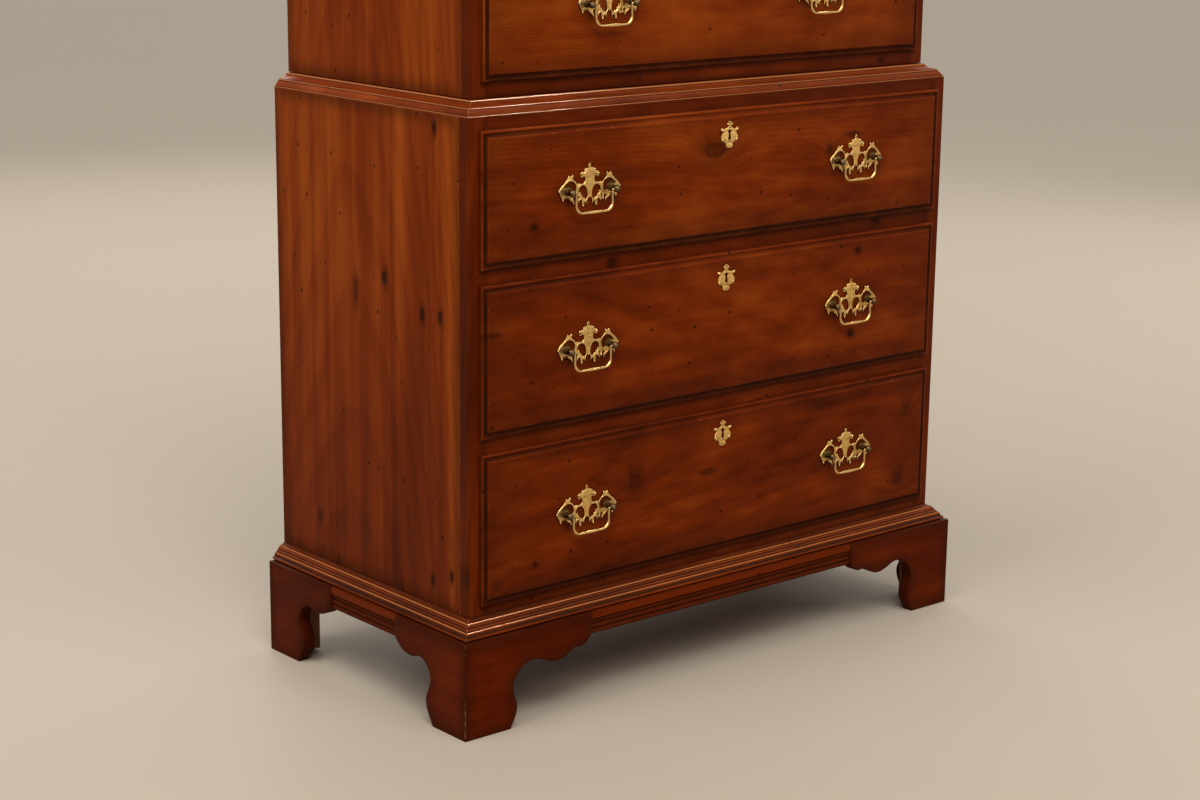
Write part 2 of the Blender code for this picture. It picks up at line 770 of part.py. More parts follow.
def oval_loop(centre, across, up, tilt, scale, steps=6):
    turn = math.radians(tilt)
    loop = []
    for step in range(steps):
        angle = 2 * math.pi * step / steps
        u, v = across * math.cos(angle), up * math.sin(angle)
        x = centre[0] + u * math.cos(turn) - v * math.sin(turn)
        loop.append((x * scale, (centre[1] + u * math.sin(turn) + v * math.cos(turn)) * scale))
    return loop


def pull_plate_mesh():
    """The pierced plate with both posts and nuts, about the point midway between the posts."""
    half = POST_SPACING / 2
    crescent = [(across * half, up * half) for across, up in PLATE_CRESCENT]
    right = [oval_loop(*PLATE_OVAL, half), crescent]
    holes = [corners(loop) for loop in right]
    holes += [corners([(-across, up) for across, up in loop]) for loop in right]
    middle = upright(-(GAP + PLATE_THICK / 2))
    loops = [mirrored_loop(PLATE_EDGE, half), *holes]
    plate = outline("pull_plate", loops, PLATE_THICK, middle, hidden=True)
    posts = [post("pull_post", side * half) for side in (-1, 1)]
    plate = combine(plate, posts, "UNION")
    reach = half + 2 * BALL_RADIUS
    bore = rod("pin_bore", (-reach, -PIVOT_OUT, 0), "X", 2 * reach, PIN_HOLE_RADIUS)
    plate.data.transform(plate.matrix_world)
    plate.matrix_world = Matrix.Identity(4)
    plate = combine(plate, [bore], "DIFFERENCE")
    mesh = plate.data
    bpy.data.objects.remove(plate)
    return mesh


def bail_mesh():
    """The swinging handle about its own axis: two pins, two legs and a bar that swells to its middle."""
    path = [(POST_SPACING / 2 + BAIL_LEG_RADIUS, 0, 1.0)]
    for step in range(3):
        turn = math.pi / 4 * step
        across = BAIL_LEG_X + BAIL_ELBOW * (1 - math.sin(turn))
        path.append((across, -BAIL_ELBOW * (1 - math.cos(turn)), 1.0))
    swell = BAIL_BAR_RADIUS / BAIL_LEG_RADIUS
    for step in range(4):
        turn = math.pi / 6 * step
        across = BAIL_LEG_X - BAIL_CORNER * (1 - math.cos(turn))
        up = -BAIL_DROP + BAIL_CORNER * (1 - math.sin(turn))
        path.append((across, up, 1 + (swell - 1) * step / 6))
    path.append((0, -BAIL_DROP, swell))
    path += [(-across, up, radius) for across, up, radius in reversed(path[:-1])]
    curve = bpy.data.curves.new("bail_path", "CURVE")
    curve.dimensions = "3D"
    curve.bevel_depth = BAIL_LEG_RADIUS
    curve.bevel_resolution = 1
    curve.use_fill_caps = True
    spline = curve.splines.new("POLY")
    spline.points.add(len(path) - 1)
    for point, (across, up, radius) in zip(spline.points, path):
        point.co = (across, 0, up, 1)
        point.radius = radius
    guide = add_object("bail_guide", curve, hidden=True)
    mesh = evaluated_mesh(guide)
    drop(guide)
    return mesh


def escutcheon_mesh():
    """A small shield with a finial and a keyhole, about the keyhole's middle on the drawer's face."""
    loops = [mirrored_loop(edge, ESCUTCHEON_HALF_HEIGHT) for edge in (ESCUTCHEON_EDGE, KEYHOLE_EDGE)]
    middle = upright(-(GAP + ESCUTCHEON_THICK / 2))
    shield = outline("escutcheon", loops, ESCUTCHEON_THICK, middle, hidden=True)
    mesh = shield.data
    mesh.transform(shield.matrix_world)
    bpy.data.objects.remove(shield)
    return mesh


# Assembly


def build_case(pine):
    lower_openings = [((-LOWER_HALF + STILE, LOWER_HALF - STILE), row) for row in LOWER_ROWS]
    upper_lips = (-UPPER_HALF + STILE, UPPER_HALF - STILE)
    upper_openings = [(upper_lips, row) for row in UPPER_ROWS[:-1]]
    upper_openings += [
        ((upper_lips[0], -CENTRE_STILE / 2), UPPER_ROWS[-1]),
        ((CENTRE_STILE / 2, upper_lips[1]), UPPER_ROWS[-1]),
    ]
    lower = (LOWER_HALF, LOWER_FRONT_Y, LOWER_FLOOR, LOWER_TOP)
    upper = (UPPER_HALF, UPPER_FRONT_Y, UPPER_FLOOR, UPPER_TOP)
    upper_frame = face_frame("upper_face_frame", *upper, upper_openings)
    runner = centre_runner("centre_runner", UPPER_FRONT_Y, UPPER_ROWS[-1])
    pieces = [
        face_frame("lower_face_frame", *lower, lower_openings),
        combine(upper_frame, [runner], "UNION"),
        back_board("lower_back", LOWER_HALF, LOWER_FLOOR, LOWER_TOP),
        back_board("upper_back", UPPER_HALF, UPPER_FLOOR, UPPER_TOP),
        base_board(),
        apron_frame(),
        waist_board(),
        cornice(),
        top_board(),
    ]
    for side, sign in {"left": -1, "right": 1}.items():
        pieces.append(side_with_runners(f"lower_side_{side}", sign, *lower, LOWER_ROWS))
        pieces.append(side_with_runners(f"upper_side_{side}", sign, *upper, UPPER_ROWS))
        pieces += [foot(f"foot_{end}_{side}", sign, end) for end in ("front", "rear")]
    for piece in pieces:
        finish(piece, pine)


def build_drawers(pine, tray_wood, brass):
    plate, bail, shield = pull_plate_mesh(), bail_mesh(), escutcheon_mesh()
    for name, lips, row, frame_y, pulls, has_keyhole in drawer_plan():
        face_y = frame_y - LIP_PROUD
        centre = (sum(lips) / 2, face_y, sum(row) / 2)
        slider = bpy.data.objects.new(name, None)
        PARTS.objects.link(slider)
        slider.location = centre
        bpy.context.view_layer.update()
        cutters = post_holes(name, pulls, row, face_y)
        if has_keyhole:
            cutters.append(keyhole_pocket(name, lips, row, face_y))
            place = Matrix.Translation((centre[0], face_y, row[1] - KEYHOLE_DROP))
            finish(add_object(name + "_escutcheon", shield, place), brass, slider)
        front = combine(drawer_front(name, lips, row, frame_y), cutters, "DIFFERENCE")
        finish(front, pine, slider)
        finish(drawer_tray(name, lips, row, frame_y), tray_wood, slider)
        for side, x in pulls.items():
            on_face = Matrix.Translation((x, face_y, centre[2]))
            finish(add_object(f"{name}_plate{side}", plate, on_face), brass, slider)
            on_axis = Matrix.Translation((x, face_y - PIVOT_OUT, centre[2]))
            finish(add_object(f"{name}_bail{side}", bail, on_axis), brass, slider)


clear_scene()
PARTS = new_collection("highboy")
CUTTERS = new_collection("cutters", hidden=True)
build_case(new_material("stained pine", (0.26, 0.065, 0.015), 0.38))
build_drawers(
    new_material("drawer front pine", (0.24, 0.055, 0.013), 0.36),
    new_material("tray wood", (0.52, 0.34, 0.17), 0.6),
    new_material("aged brass", (0.62, 0.43, 0.16), 0.35, 1.0),
)
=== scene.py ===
"""The looks of a stained pine chest on chest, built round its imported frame.

Metres, +Z up, and the front faces -Y. Every piece is made in place with its object at the origin.
"""

import json
import random
from math import copysign, cos, exp, pi, radians, sin

import bmesh
import bpy
import numpy as np
from mathutils import Matrix, Vector

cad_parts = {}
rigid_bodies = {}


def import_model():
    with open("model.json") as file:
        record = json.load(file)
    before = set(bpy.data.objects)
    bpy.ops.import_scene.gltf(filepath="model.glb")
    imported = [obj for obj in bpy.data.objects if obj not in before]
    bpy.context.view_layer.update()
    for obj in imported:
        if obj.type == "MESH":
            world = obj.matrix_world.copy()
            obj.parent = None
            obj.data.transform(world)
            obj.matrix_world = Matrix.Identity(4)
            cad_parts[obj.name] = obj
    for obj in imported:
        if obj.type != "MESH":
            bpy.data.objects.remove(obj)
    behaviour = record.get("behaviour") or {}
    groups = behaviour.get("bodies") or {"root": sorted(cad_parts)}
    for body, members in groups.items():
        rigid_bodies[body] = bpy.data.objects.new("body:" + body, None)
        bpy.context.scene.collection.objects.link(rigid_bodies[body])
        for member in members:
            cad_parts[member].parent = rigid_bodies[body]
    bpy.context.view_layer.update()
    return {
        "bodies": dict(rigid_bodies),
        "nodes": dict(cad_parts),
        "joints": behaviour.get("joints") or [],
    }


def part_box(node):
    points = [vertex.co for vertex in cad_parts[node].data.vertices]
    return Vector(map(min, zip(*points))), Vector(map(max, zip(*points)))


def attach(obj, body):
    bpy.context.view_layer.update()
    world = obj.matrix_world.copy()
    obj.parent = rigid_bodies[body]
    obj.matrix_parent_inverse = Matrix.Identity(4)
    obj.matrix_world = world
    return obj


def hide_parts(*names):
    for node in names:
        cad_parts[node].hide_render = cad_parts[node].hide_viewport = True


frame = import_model()
MM = 0.001

# Places read from the frame
LOWER_FRAME, LOWER_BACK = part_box("lower_face_frame"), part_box("lower_back")
UPPER_FRAME, UPPER_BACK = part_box("upper_face_frame"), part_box("upper_back")
BASE, WAIST, CORNICE, TOP = [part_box(node) for node in ("base_board", "waist_board", "cornice", "top_board")]
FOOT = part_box("foot_front_right")
TIERS = {"lower": (LOWER_FRAME, LOWER_BACK), "upper": (UPPER_FRAME, UPPER_BACK)}  # face frame and back
FRAME_THICK = LOWER_FRAME[1].y - LOWER_FRAME[0].y
BACK_Y = LOWER_BACK[1].y
FOOT_TOP = FOOT[1].z
APRON_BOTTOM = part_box("apron_frame")[0].z
DRAWERS = [name for name in frame["bodies"] if name.endswith("_drawer")]
PIVOTS = {joint["child"]: joint["pos_m"] for joint in frame["joints"] if joint["child"] not in DRAWERS}

# Sizes that the frame's boxes don't give
SEAM = 0.15 * MM  # left between two boards of one joint
EDGE = 0.5 * MM  # rounding of a board's arris
FACE_GAP = 0.3 * MM  # between the frame's separate pieces
LIP_LAP = 10 * MM
LIP_PROUD = 8 * MM
LIP_CORE = LIP_LAP + 1.5 * MM  # from a drawer front's edge in to the part that enters the case
SIDE_BOARD = 19 * MM
TRAY_SIDE = 12 * MM
TRAY_FLOOR = (9 * MM, 15 * MM)  # above the tray's lower edge
TAIL_PITCH = 46 * MM
PLAY = 0.4 * MM  # of a tray on its runners
LEDGE_REACH, LEDGE_THICK, GUIDE_HEIGHT = 24 * MM, 16 * MM, 18 * MM
BACK_BOARDS = 6
FOOT_THICK = 20 * MM
BLOCK_REACH, BLOCK_LIFT = 36 * MM, 4 * MM
APRON_RAIL = 14 * MM
POST_SPACING = 82 * MM
PIVOT_OUT = 12.8 * MM
KEYHOLE_DROP = 38.5 * MM

# How much lighter than its material a piece is. This is painted light, set by height on the case
SIDE_PAINTED_LIGHT = {"lower": (-0.13, 0.08), "upper": (0.06, 0.08)}  # at its foot and at its head: painted light, darker lower down
DRAWER_PAINTED_LIGHT = ([0.25, 0.5, 0.8, 1.1], [-0.06, -0.05, 0.10, 0.03])  # by the height of its middle: painted light

SIDES = (("left", -1), ("right", 1))
FORWARD = Matrix.Rotation(pi / 2, 4, "X")  # turns what points up to point out of the front


# Nodes of the materials


class Graph:
    """Short calls for one node tree. A value that is passed in is a number, a tuple or a socket."""

    def __init__(self, name, owners="materials", shader="Principled BSDF"):
        self.owner = getattr(bpy.data, owners).new(name)
        self.owner.use_nodes = True
        self.tree = self.owner.node_tree
        self.shader = self.tree.nodes[shader]

    def join(self, socket, value):
        """Sets or links a socket, which can be given by its name on the shader."""
        if isinstance(socket, str):
            socket = self.shader.inputs[socket]
        if isinstance(value, bpy.types.NodeSocket):
            self.tree.links.new(value, socket)
        else:
            socket.default_value = value

    def node(self, kind, inputs, output=0, **settings):
        made = self.tree.nodes.new("ShaderNode" + kind)
        for key, value in settings.items():
            setattr(made, key, value)
        for key, value in inputs.items():
            self.join(made.inputs[key], value)
        return made.outputs[output]

    def math(self, operation, a, b=0.0, c=0.0):
        return self.node("Math", {0: a, 1: b, 2: c}, operation=operation)

    def times(self, a, b, plus=0.0):
        return self.math("MULTIPLY_ADD", a, b, plus)

    def vector(self, operation, a, b=(0.0, 0.0, 0.0)):
        output = 1 if operation == "LENGTH" else 0
        return self.node("VectorMath", {0: a, 1: b}, output, operation=operation)

    def stretch(self, place, factors):
        return self.vector("MULTIPLY", place, factors)

    def place(self):
        return self.node("TexCoord", {}, "Object")

    def attribute(self, name, output=2):
        return self.node("Attribute", {}, output, attribute_name=name)

    def noise(self, place, scale, detail=2.0, roughness=0.5):
        """Noise at one scale, or at one for each axis."""
        if isinstance(scale, tuple):
            place, scale = self.stretch(place, scale), 1.0
        inputs = {"Vector": place, "Scale": scale, "Detail": detail, "Roughness": roughness}
        return self.node("TexNoise", inputs)

    def cells(self, place):
        """Voronoi cells over a board's length and width: the distance to a centre, and a random value."""
        reach = self.node("TexVoronoi", {"Vector": place, "Scale": 1.0}, 0, voronoi_dimensions="2D")
        return reach, self.node("SeparateColor", {0: reach.node.outputs[1]})

    def smooth(self, value, low, high):
        """0 below low and 1 above high, or the other way round where low is the larger."""
        inputs = {"Value": value, "From Min": low, "From Max": high}
        return self.node("MapRange", inputs, interpolation_type="SMOOTHSTEP")

    def mix(self, share, a, b):
        a, b = [(*end, 1.0) if isinstance(end, tuple) else end for end in (a, b)]
        return self.node("Mix", {0: share, 6: a, 7: b}, 2, data_type="RGBA")

    def ramp(self, value, places, colours):
        colour = self.node("ValToRGB", {0: value})
        elements = colour.node.color_ramp.elements
        while len(elements) < len(places):
            elements.new(0.5)
        for element, place, shade in zip(elements, places, colours):
            element.position = place
            element.color = (*shade, 1.0)
        return colour

    def bump(self, height, strength, distance):
        self.join("Normal", self.node("Bump", {"Height": height, "Strength": strength, "Distance": distance}))


KNOT = (0.016, 0.0026, 0.0008)
DARK_GLAZE_AND_SHADE = (0.024, 0.0052, 0.0019)  # dark glazing, and painted shade in the quirks and recesses
# tarnish, and painted shade round the posts' seats and on the posts and bails
TARNISH_AND_SHADE = (0.022, 0.010, 0.004)


def knot_field(g, knots):
    """How dark each place is from its nearest knot, and how far the knots push the rings aside."""
    place = g.place()
    dark, push = 0.0, 0.0
    for centre, radii, strength in knots:
        offset = g.vector("SUBTRACT", place, centre)
        reach = g.vector("LENGTH", g.stretch(offset, [1 / radius for radius in radii]))
        reach = g.math("ADD", reach, g.times(g.noise(offset, 160.0), 0.6, -0.3))
        ring = g.times(g.math("SINE", g.times(reach, 13.0)), 0.1, 0.9)
        core = g.times(g.smooth(reach, 1.08, 0.82), g.times(ring, strength))
        halo = g.times(g.smooth(reach, 2.4, 0.8), 0.5 * strength)
        dark = g.math("MAXIMUM", dark, g.math("MAXIMUM", core, halo))
        bump = g.math("EXPONENT", g.times(g.times(reach, reach), -0.25))
        push = g.times(bump, min(radii) * 2.4, push)
    return dark, push


def pine(name, tones, knots=(), stripes=0.45, streaks=0.3, clouds=0.55, mottle=0.15, figure=0.1, sway=4.0,
         run=1.0, satin=0.36, gloss=0.06, dull=0.3, polish=0.3, relief_depth=0.22, tint=(1.0, 0.42, 0.14),
         scuff=0.26, worn_and_highlight_colour=(0.42, 0.24, 0.12)):
    """Stained pine. The mesh's grain attribute gives each point's place along, across and into its board."""
    g = Graph(name)
    grain = g.attribute("grain", 1)
    # glaze darkens with glazing and with painted shade in quirks, recesses and under lips; wear lightens worn
    # edges and paints highlight lines on moulding facets; shade is tone, and painted light on some pieces
    glaze, wear, shade = [g.attribute(kind) for kind in ("glaze", "wear", "shade")]
    dark, push = knot_field(g, knots)

    pin_reach, pin_pick = g.cells(g.stretch(grain, (2.4, 9.0, 9.0)))
    pin_reach = g.times(g.noise(grain, 220.0), 0.05, pin_reach)
    pin = g.times(g.smooth(pin_reach, 0.095, 0.05), g.smooth(pin_pick, 0.72, 0.78))
    dark = g.math("MAXIMUM", dark, g.times(pin, 0.6))

    moved = g.vector("ADD", grain, g.node("CombineXYZ", {1: push}))
    wander = g.noise(moved, (1.6, 5.0, 5.0), 3.0)
    heart = g.vector("LENGTH", g.stretch(moved, (0.03, 1.0, 1.0)))
    turn = g.math("FRACT", g.times(heart, 210.0, g.times(wander, sway)))
    late = g.times(g.smooth(turn, 0.35, 0.9), g.smooth(turn, 1.0, 0.93))

    stripe = g.noise(moved, (0.35, 26.0, 26.0), 2.0, 0.6)
    streak = g.noise(moved, (5.0 * run, 60.0, 60.0), 3.0, 0.6)
    cloud = g.noise(moved, (3.5 * run, 9.0, 9.0), 3.0, 0.55)
    small = g.noise(moved, (14.0, 34.0, 34.0), 4.0, 0.6)
    fibre = g.noise(moved, (22.0, 900.0, 900.0), 2.0, 0.7)
    tone = g.math("ADD", g.times(stripe, stripes, 0.5 - stripes / 2), shade)
    for part, weight in ((streak, streaks), (cloud, clouds), (small, mottle), (fibre, 0.16)):
        tone = g.times(g.math("SUBTRACT", part, 0.5), weight, tone)
    tone = g.math("SUBTRACT", tone, g.times(late, figure))
    colour = g.mix(dark, g.ramp(tone, (0.22, 0.5, 0.78), tones), KNOT)

    speck_reach, speck_size = g.cells(g.stretch(grain, (13.0, 16.0, 1.0)))
    speck = g.times(g.smooth(g.math("DIVIDE", speck_reach, speck_size), 0.056, 0.03), 0.85)
    patchy = g.noise(grain, 34.0, 3.0)
    # Dark glazing, and painted shade, where glaze is high
    colour = g.mix(g.times(glaze, g.times(patchy, 0.5, 0.72)), g.mix(speck, colour, KNOT), DARK_GLAZE_AND_SHADE)
    chips = g.noise(grain, 120.0, 3.0, 0.65)
    # Bare wood where worn, and painted highlight lines on the moulding facets
    bare_and_highlight = g.smooth(g.times(wear, scuff, chips), 0.72, 0.82)
    g.join("Base Color", g.mix(g.times(bare_and_highlight, g.smooth(wear, 0.4, 1.0)), colour, worn_and_highlight_colour))

    rough = g.times(glaze, dull, g.times(patchy, 0.14, satin - 0.07))
    g.join("Roughness", g.times(wear, -polish, rough))
    g.join("Specular IOR Level", gloss)
    g.join("Specular Tint", (*tint, 1.0))
    g.bump(g.times(late, 0.35, g.times(speck, -1.5, fibre)), relief_depth, 0.0002)
    return g.owner


def brass(name, bright, satin):
    """Aged brass: bright on the edges that hands reach, with painted highlights there, and brown tarnish with
    painted shade in the recesses.
    """
    g = Graph(name)
    place = g.place()
    glaze, wear = g.attribute("glaze"), g.attribute("wear")
    patch = g.noise(place, 150.0, 4.0, 0.6)
    tarnished = g.smooth(g.times(wear, -0.3, patch), 0.42, 0.72)
    pit = g.smooth(g.noise(place, 480.0, 2.0, 0.7), 0.54, 0.36)
    colour = g.mix(g.times(tarnished, 0.6), bright, (0.26, 0.14, 0.04))
    # Worn bright metal, with painted highlights on the raised edges and beads
    colour = g.mix(g.times(wear, 0.6), colour, (0.95, 0.80, 0.54))
    colour = g.mix(g.times(pit, 0.5), colour, (0.24, 0.13, 0.04))
    # Dark tarnish, and painted shade where glaze is high
    g.join("Base Color", g.mix(glaze, colour, TARNISH_AND_SHADE))
    g.join("Metallic", 1.0)
    g.join("Specular Tint", (0.66, 0.40, 0.16, 1.0))
    rough = g.times(wear, -0.12, g.times(patch, 0.18, satin - 0.09))
    g.join("Roughness", g.times(glaze, 0.25, rough))
    grit = g.times(g.noise(place, 1300.0), 0.4, g.noise(place, 620.0, 3.0, 0.7))
    g.bump(g.times(patch, 0.5, grit), 0.55, 0.0003)
    return g.owner


def steel(name):
    g = Graph(name)
    rust = g.smooth(g.noise(g.place(), 400.0, 3.0), 0.45, 0.7)
    g.join("Base Color", g.mix(rust, (0.16, 0.15, 0.14), (0.07, 0.035, 0.02)))
    g.join("Metallic", 1.0)
    g.join("Roughness", g.times(rust, 0.3, 0.4))
    g.bump(g.noise(g.place(), 1500.0), 0.2, 0.0001)
    return g.owner


def floor_paint(name, colour):
    g = Graph(name)
    cloud = g.noise(g.place(), 1.3, 4.0)
    darker = tuple(channel * 0.94 for channel in colour)
    g.join("Base Color", g.mix(cloud, darker, colour))
    g.join("Roughness", g.times(cloud, 0.1, 0.6))
    g.join("Specular IOR Level", 0.25)
    g.bump(g.noise(g.place(), 90.0, 3.0), 0.05, 0.001)
    return g.owner


KNOT_DEPTH = 40 * MM


def side_knot(y, z, radius, stretch=1.7, strength=1.0):
    return (-LOWER_FRAME[1].x, y, z), (KNOT_DEPTH, radius * MM, radius * MM * stretch), strength


def front_knot(x, z, radius, stretch=1.3, strength=1.0):
    return (x, LOWER_FRAME[0].y, z), (radius * MM * stretch, KNOT_DEPTH, radius * MM), strength


SIDE_KNOTS = [side_knot(*knot) for knot in (
    (0.046, 0.606, 6, 3.2, 0.62), (-0.026, 0.635, 6.5, 1.8), (-0.118, 0.596, 5.5, 1.9),
    (-0.161, 0.598, 4.5, 2.2), (-0.149, 0.864, 4.5, 1.9), (0.152, 0.238, 5.5, 1.7, 0.75),
    (-0.140, 0.208, 4.5, 2.0), (-0.186, 0.224, 4.0, 1.8),
)]
FRONT_KNOTS = [front_knot(*knot) for knot in (
    (-0.028, 0.807, 15, 1.7, 0.7), (0.215, 0.790, 9, 0.8, 0.75), (-0.370, 0.726, 4.5), (0.275, 0.491, 6, 1.2),
    (0.286, 0.624, 5, 1.3), (-0.176, 0.326, 13, 1.1, 0.72), (-0.436, 0.215, 9, 0.9, 0.6),
    (-0.366, 0.232, 3.5), (0.412, 0.345, 10, 1.2, 0.6), (0.399, 0.230, 12, 1.0, 0.62),
    (-0.219, 0.659, 7, 1.2), (0.333, 0.666, 7, 1.3), (0.362, 0.916, 5),
)]

PINE_SIDE = pine(
    "side pine", ((0.066, 0.008, 0.0008), (0.156, 0.0215, 0.0016), (0.29, 0.059, 0.0055)), SIDE_KNOTS,
    stripes=0.6, streaks=0.24, clouds=0.8, mottle=0.12, figure=0.06, sway=2.0, run=0.35,
)
PINE_FRONT = pine(
    "drawer front pine", ((0.052, 0.0052, 0.0006), (0.138, 0.0168, 0.0012), (0.245, 0.044, 0.0034)),
    FRONT_KNOTS,
    stripes=0.3, streaks=0.26, clouds=0.6, mottle=0.36, figure=0.05, sway=3.0,
)
PINE_FRAME = pine(
    "frame pine", ((0.046, 0.0055, 0.0008), (0.098, 0.0118, 0.0012), (0.18, 0.03, 0.0028)), FRONT_KNOTS[-3:],
    stripes=0.5, streaks=0.4, figure=0.08,
)
# Its worn colour also paints the highlight lines along the moulding facets
PINE_TRIM = pine(
    "moulding pine", ((0.076, 0.0092, 0.0006), (0.188, 0.0270, 0.0012), (0.330, 0.0680, 0.0040)),
    stripes=0.5, streaks=0.5, figure=0.06, satin=0.44, gloss=0.12, dull=0.1, relief_depth=0.04,
    tint=(1.0, 0.60, 0.34), scuff=0.45, worn_and_highlight_colour=(0.34, 0.11, 0.03),
)
PINE_FOOT = pine(
    "foot pine", ((0.036, 0.0034, 0.0004), (0.074, 0.0072, 0.0006), (0.130, 0.0160, 0.0012)),
    stripes=0.3, streaks=0.25, clouds=0.5, figure=0.06, gloss=0.05, tint=(1.0, 0.30, 0.08), scuff=0.28,
    worn_and_highlight_colour=(0.62, 0.40, 0.23),
)
PALE_PINE = pine(
    "plain pine", ((0.44, 0.26, 0.12), (0.57, 0.37, 0.18), (0.68, 0.48, 0.27)),
    stripes=0.3, figure=0.18, satin=0.55, gloss=0.25,
)
BACK_PINE = pine(
    "back pine", ((0.15, 0.066, 0.026), (0.26, 0.125, 0.052), (0.37, 0.20, 0.092)),
    stripes=0.5, figure=0.13, satin=0.6, gloss=0.2,
)
BRASS = brass("aged brass", (0.78, 0.475, 0.13), 0.34)
# A darker copy of the brass for the posts and nuts: tarnish, and painted shade and dark reflection on the
# posts
BRASS_PAINTED_SHADE = brass("dark brass", (0.30, 0.17, 0.06), 0.28)
STEEL = steel("nail steel")


# Meshes


def linked(name, data):
    obj = bpy.data.objects.new(name, data)
    bpy.context.scene.collection.objects.link(obj)
    return obj


def as_object(name, shape):
    """A new object from a bmesh, which is used up."""
    bmesh.ops.recalc_face_normals(shape, faces=shape.faces)
    mesh = bpy.data.meshes.new(name)
    shape.to_mesh(mesh)
    shape.free()
    return linked(name, mesh)


def applied(obj):
    """Puts the object's modifiers and place into its mesh, welded."""
    bpy.context.view_layer.update()
    graph = bpy.context.evaluated_depsgraph_get()
    mesh = bpy.data.meshes.new_from_object(obj.evaluated_get(graph))
    mesh.transform(obj.matrix_world)
    shape = bmesh.new()
    shape.from_mesh(mesh)
    bmesh.ops.remove_doubles(shape, verts=shape.verts, dist=2e-6)
    bmesh.ops.dissolve_degenerate(shape, edges=shape.edges, dist=2e-6)
    bpy.data.meshes.remove(mesh)
    name = obj.name
    bpy.data.objects.remove(obj)
    return as_object(name, shape)


def combine(solid, others, operation="DIFFERENCE"):
    for other in others:
        modifier = solid.modifiers.new(operation, "BOOLEAN")
        modifier.operation = operation
        modifier.object = other
    solid = applied(solid)
    for other in others:
        bpy.data.objects.remove(other)
    return solid


def joined(name, objects):
    """Separate small bodies as one piece."""
    shape = bmesh.new()
    for obj in objects:
        shape.from_mesh(obj.data)
        bpy.data.objects.remove(obj)
    return as_object(name, shape)


def in_order(low, high):
    return [min(a, b) for a, b in zip(low, high)], [max(a, b) for a, b in zip(low, high)]


def box_shape(low, high):
    shape = bmesh.new()
    bmesh.ops.create_cube(shape, size=1.0)
    size = [b - a for a, b in zip(low, high)]
    centre = [(a + b) / 2 for a, b in zip(low, high)]
    matrix = Matrix.Translation(centre) @ Matrix.Diagonal((*size, 1.0))
    bmesh.ops.transform(shape, matrix=matrix, verts=shape.verts)
    return shape


def block(name, low, high):
    return as_object(name, box_shape(*in_order(low, high)))


def slice_at(shape, axis, place):
    """Adds an edge loop where a plane across the axis meets the mesh."""
    everything = shape.verts[:] + shape.edges[:] + shape.faces[:]
    normal = [float(axis == other) for other in range(3)]
    bmesh.ops.bisect_plane(shape, geom=everything, plane_co=[place * n for n in normal], plane_no=normal)


def grid(obj, axes, step, more=()):
    """Adds edge loops every step, to hold shading on a flat face, and at more places of the first axis."""
    shape = bmesh.new()
    shape.from_mesh(obj.data)
    for axis in axes:
        places = [vert.co[axis] for vert in shape.verts]
        low, high = min(places), max(places)
        loops = np.linspace(low, high, int((high - low) / step) + 2)[1:-1]
        for place in (*loops, *(more if axis == axes[0] else ())):
            slice_at(shape, axis, place)
    shape.to_mesh(obj.data)
    shape.free()


def halve(obj, point, normal):
    """Keeps the side of a plane that the normal points away from, and closes the cut."""
    shape = bmesh.new()
    shape.from_mesh(obj.data)
    everything = shape.verts[:] + shape.edges[:] + shape.faces[:]
    cut = bmesh.ops.bisect_plane(shape, geom=everything, plane_co=point, plane_no=normal, clear_outer=True)
    edges = [item for item in cut["geom_cut"] if isinstance(item, bmesh.types.BMEdge)]
    bmesh.ops.holes_fill(shape, edges=edges)
    shape.to_mesh(obj.data)
    shape.free()


def loft(name, rings, marks=()):
    """A closed body through rings of points, with flat ends. marks holds each point's (glaze, wear): glazing
    with painted shade, and worn edges with painted highlight.
    """
    shape = bmesh.new()
    layers = [shape.verts.layers.float.new(kind) for kind in ("glaze", "wear")]
    rows = [[shape.verts.new(point) for point in ring] for ring in rings]
    for row, row_marks in zip(rows, marks):
        for vert, values in zip(row, row_marks):
            for layer, value in zip(layers, values):
                vert[layer] = value
    for below, above in zip(rows, rows[1:]):
        for index, vert in enumerate(below):
            after = (index + 1) % len(below)
            shape.faces.new((vert, below[after], above[after], above[index]))
    shape.faces.new(rows[0][::-1])
    shape.faces.new(rows[-1])
    return as_object(name, shape)


def plate_of(name, loops, thickness, matrix, resolution=8, rounding=0.0, steps=1):
    """Closed loops of (across, up, kind) filled and extruded evenly about the plane of the matrix."""
    curve = bpy.data.curves.new(name, "CURVE")
    curve.dimensions = "2D"
    curve.fill_mode = "BOTH"
    curve.extrude = thickness / 2 - rounding
    curve.bevel_depth = rounding
    curve.bevel_resolution = steps
    curve.offset = -rounding
    curve.resolution_u = resolution
    for loop in loops:
        spline = curve.splines.new("BEZIER")
        spline.bezier_points.add(len(loop) - 1)
        for point, (across, up, kind) in zip(spline.bezier_points, loop):
            point.co = (across, up, 0)
            point.handle_left_type = point.handle_right_type = kind
        spline.use_cyclic_u = True
    obj = linked(name, curve)
    obj.matrix_world = matrix
    return applied(obj)


def wire(name, points, radii, sides=8):
    """A round rod along points in space, with its own radius at each."""
    curve = bpy.data.curves.new(name, "CURVE")
    curve.dimensions = "3D"
    curve.bevel_depth = 1.0
    curve.bevel_resolution = (sides - 4) // 2
    curve.use_fill_caps = True
    spline = curve.splines.new("POLY")
    spline.points.add(len(points) - 1)
    for place, point, radius in zip(spline.points, points, radii):
        place.co = (*point, 1.0)
        place.radius = radius
    return applied(linked(name, curve))


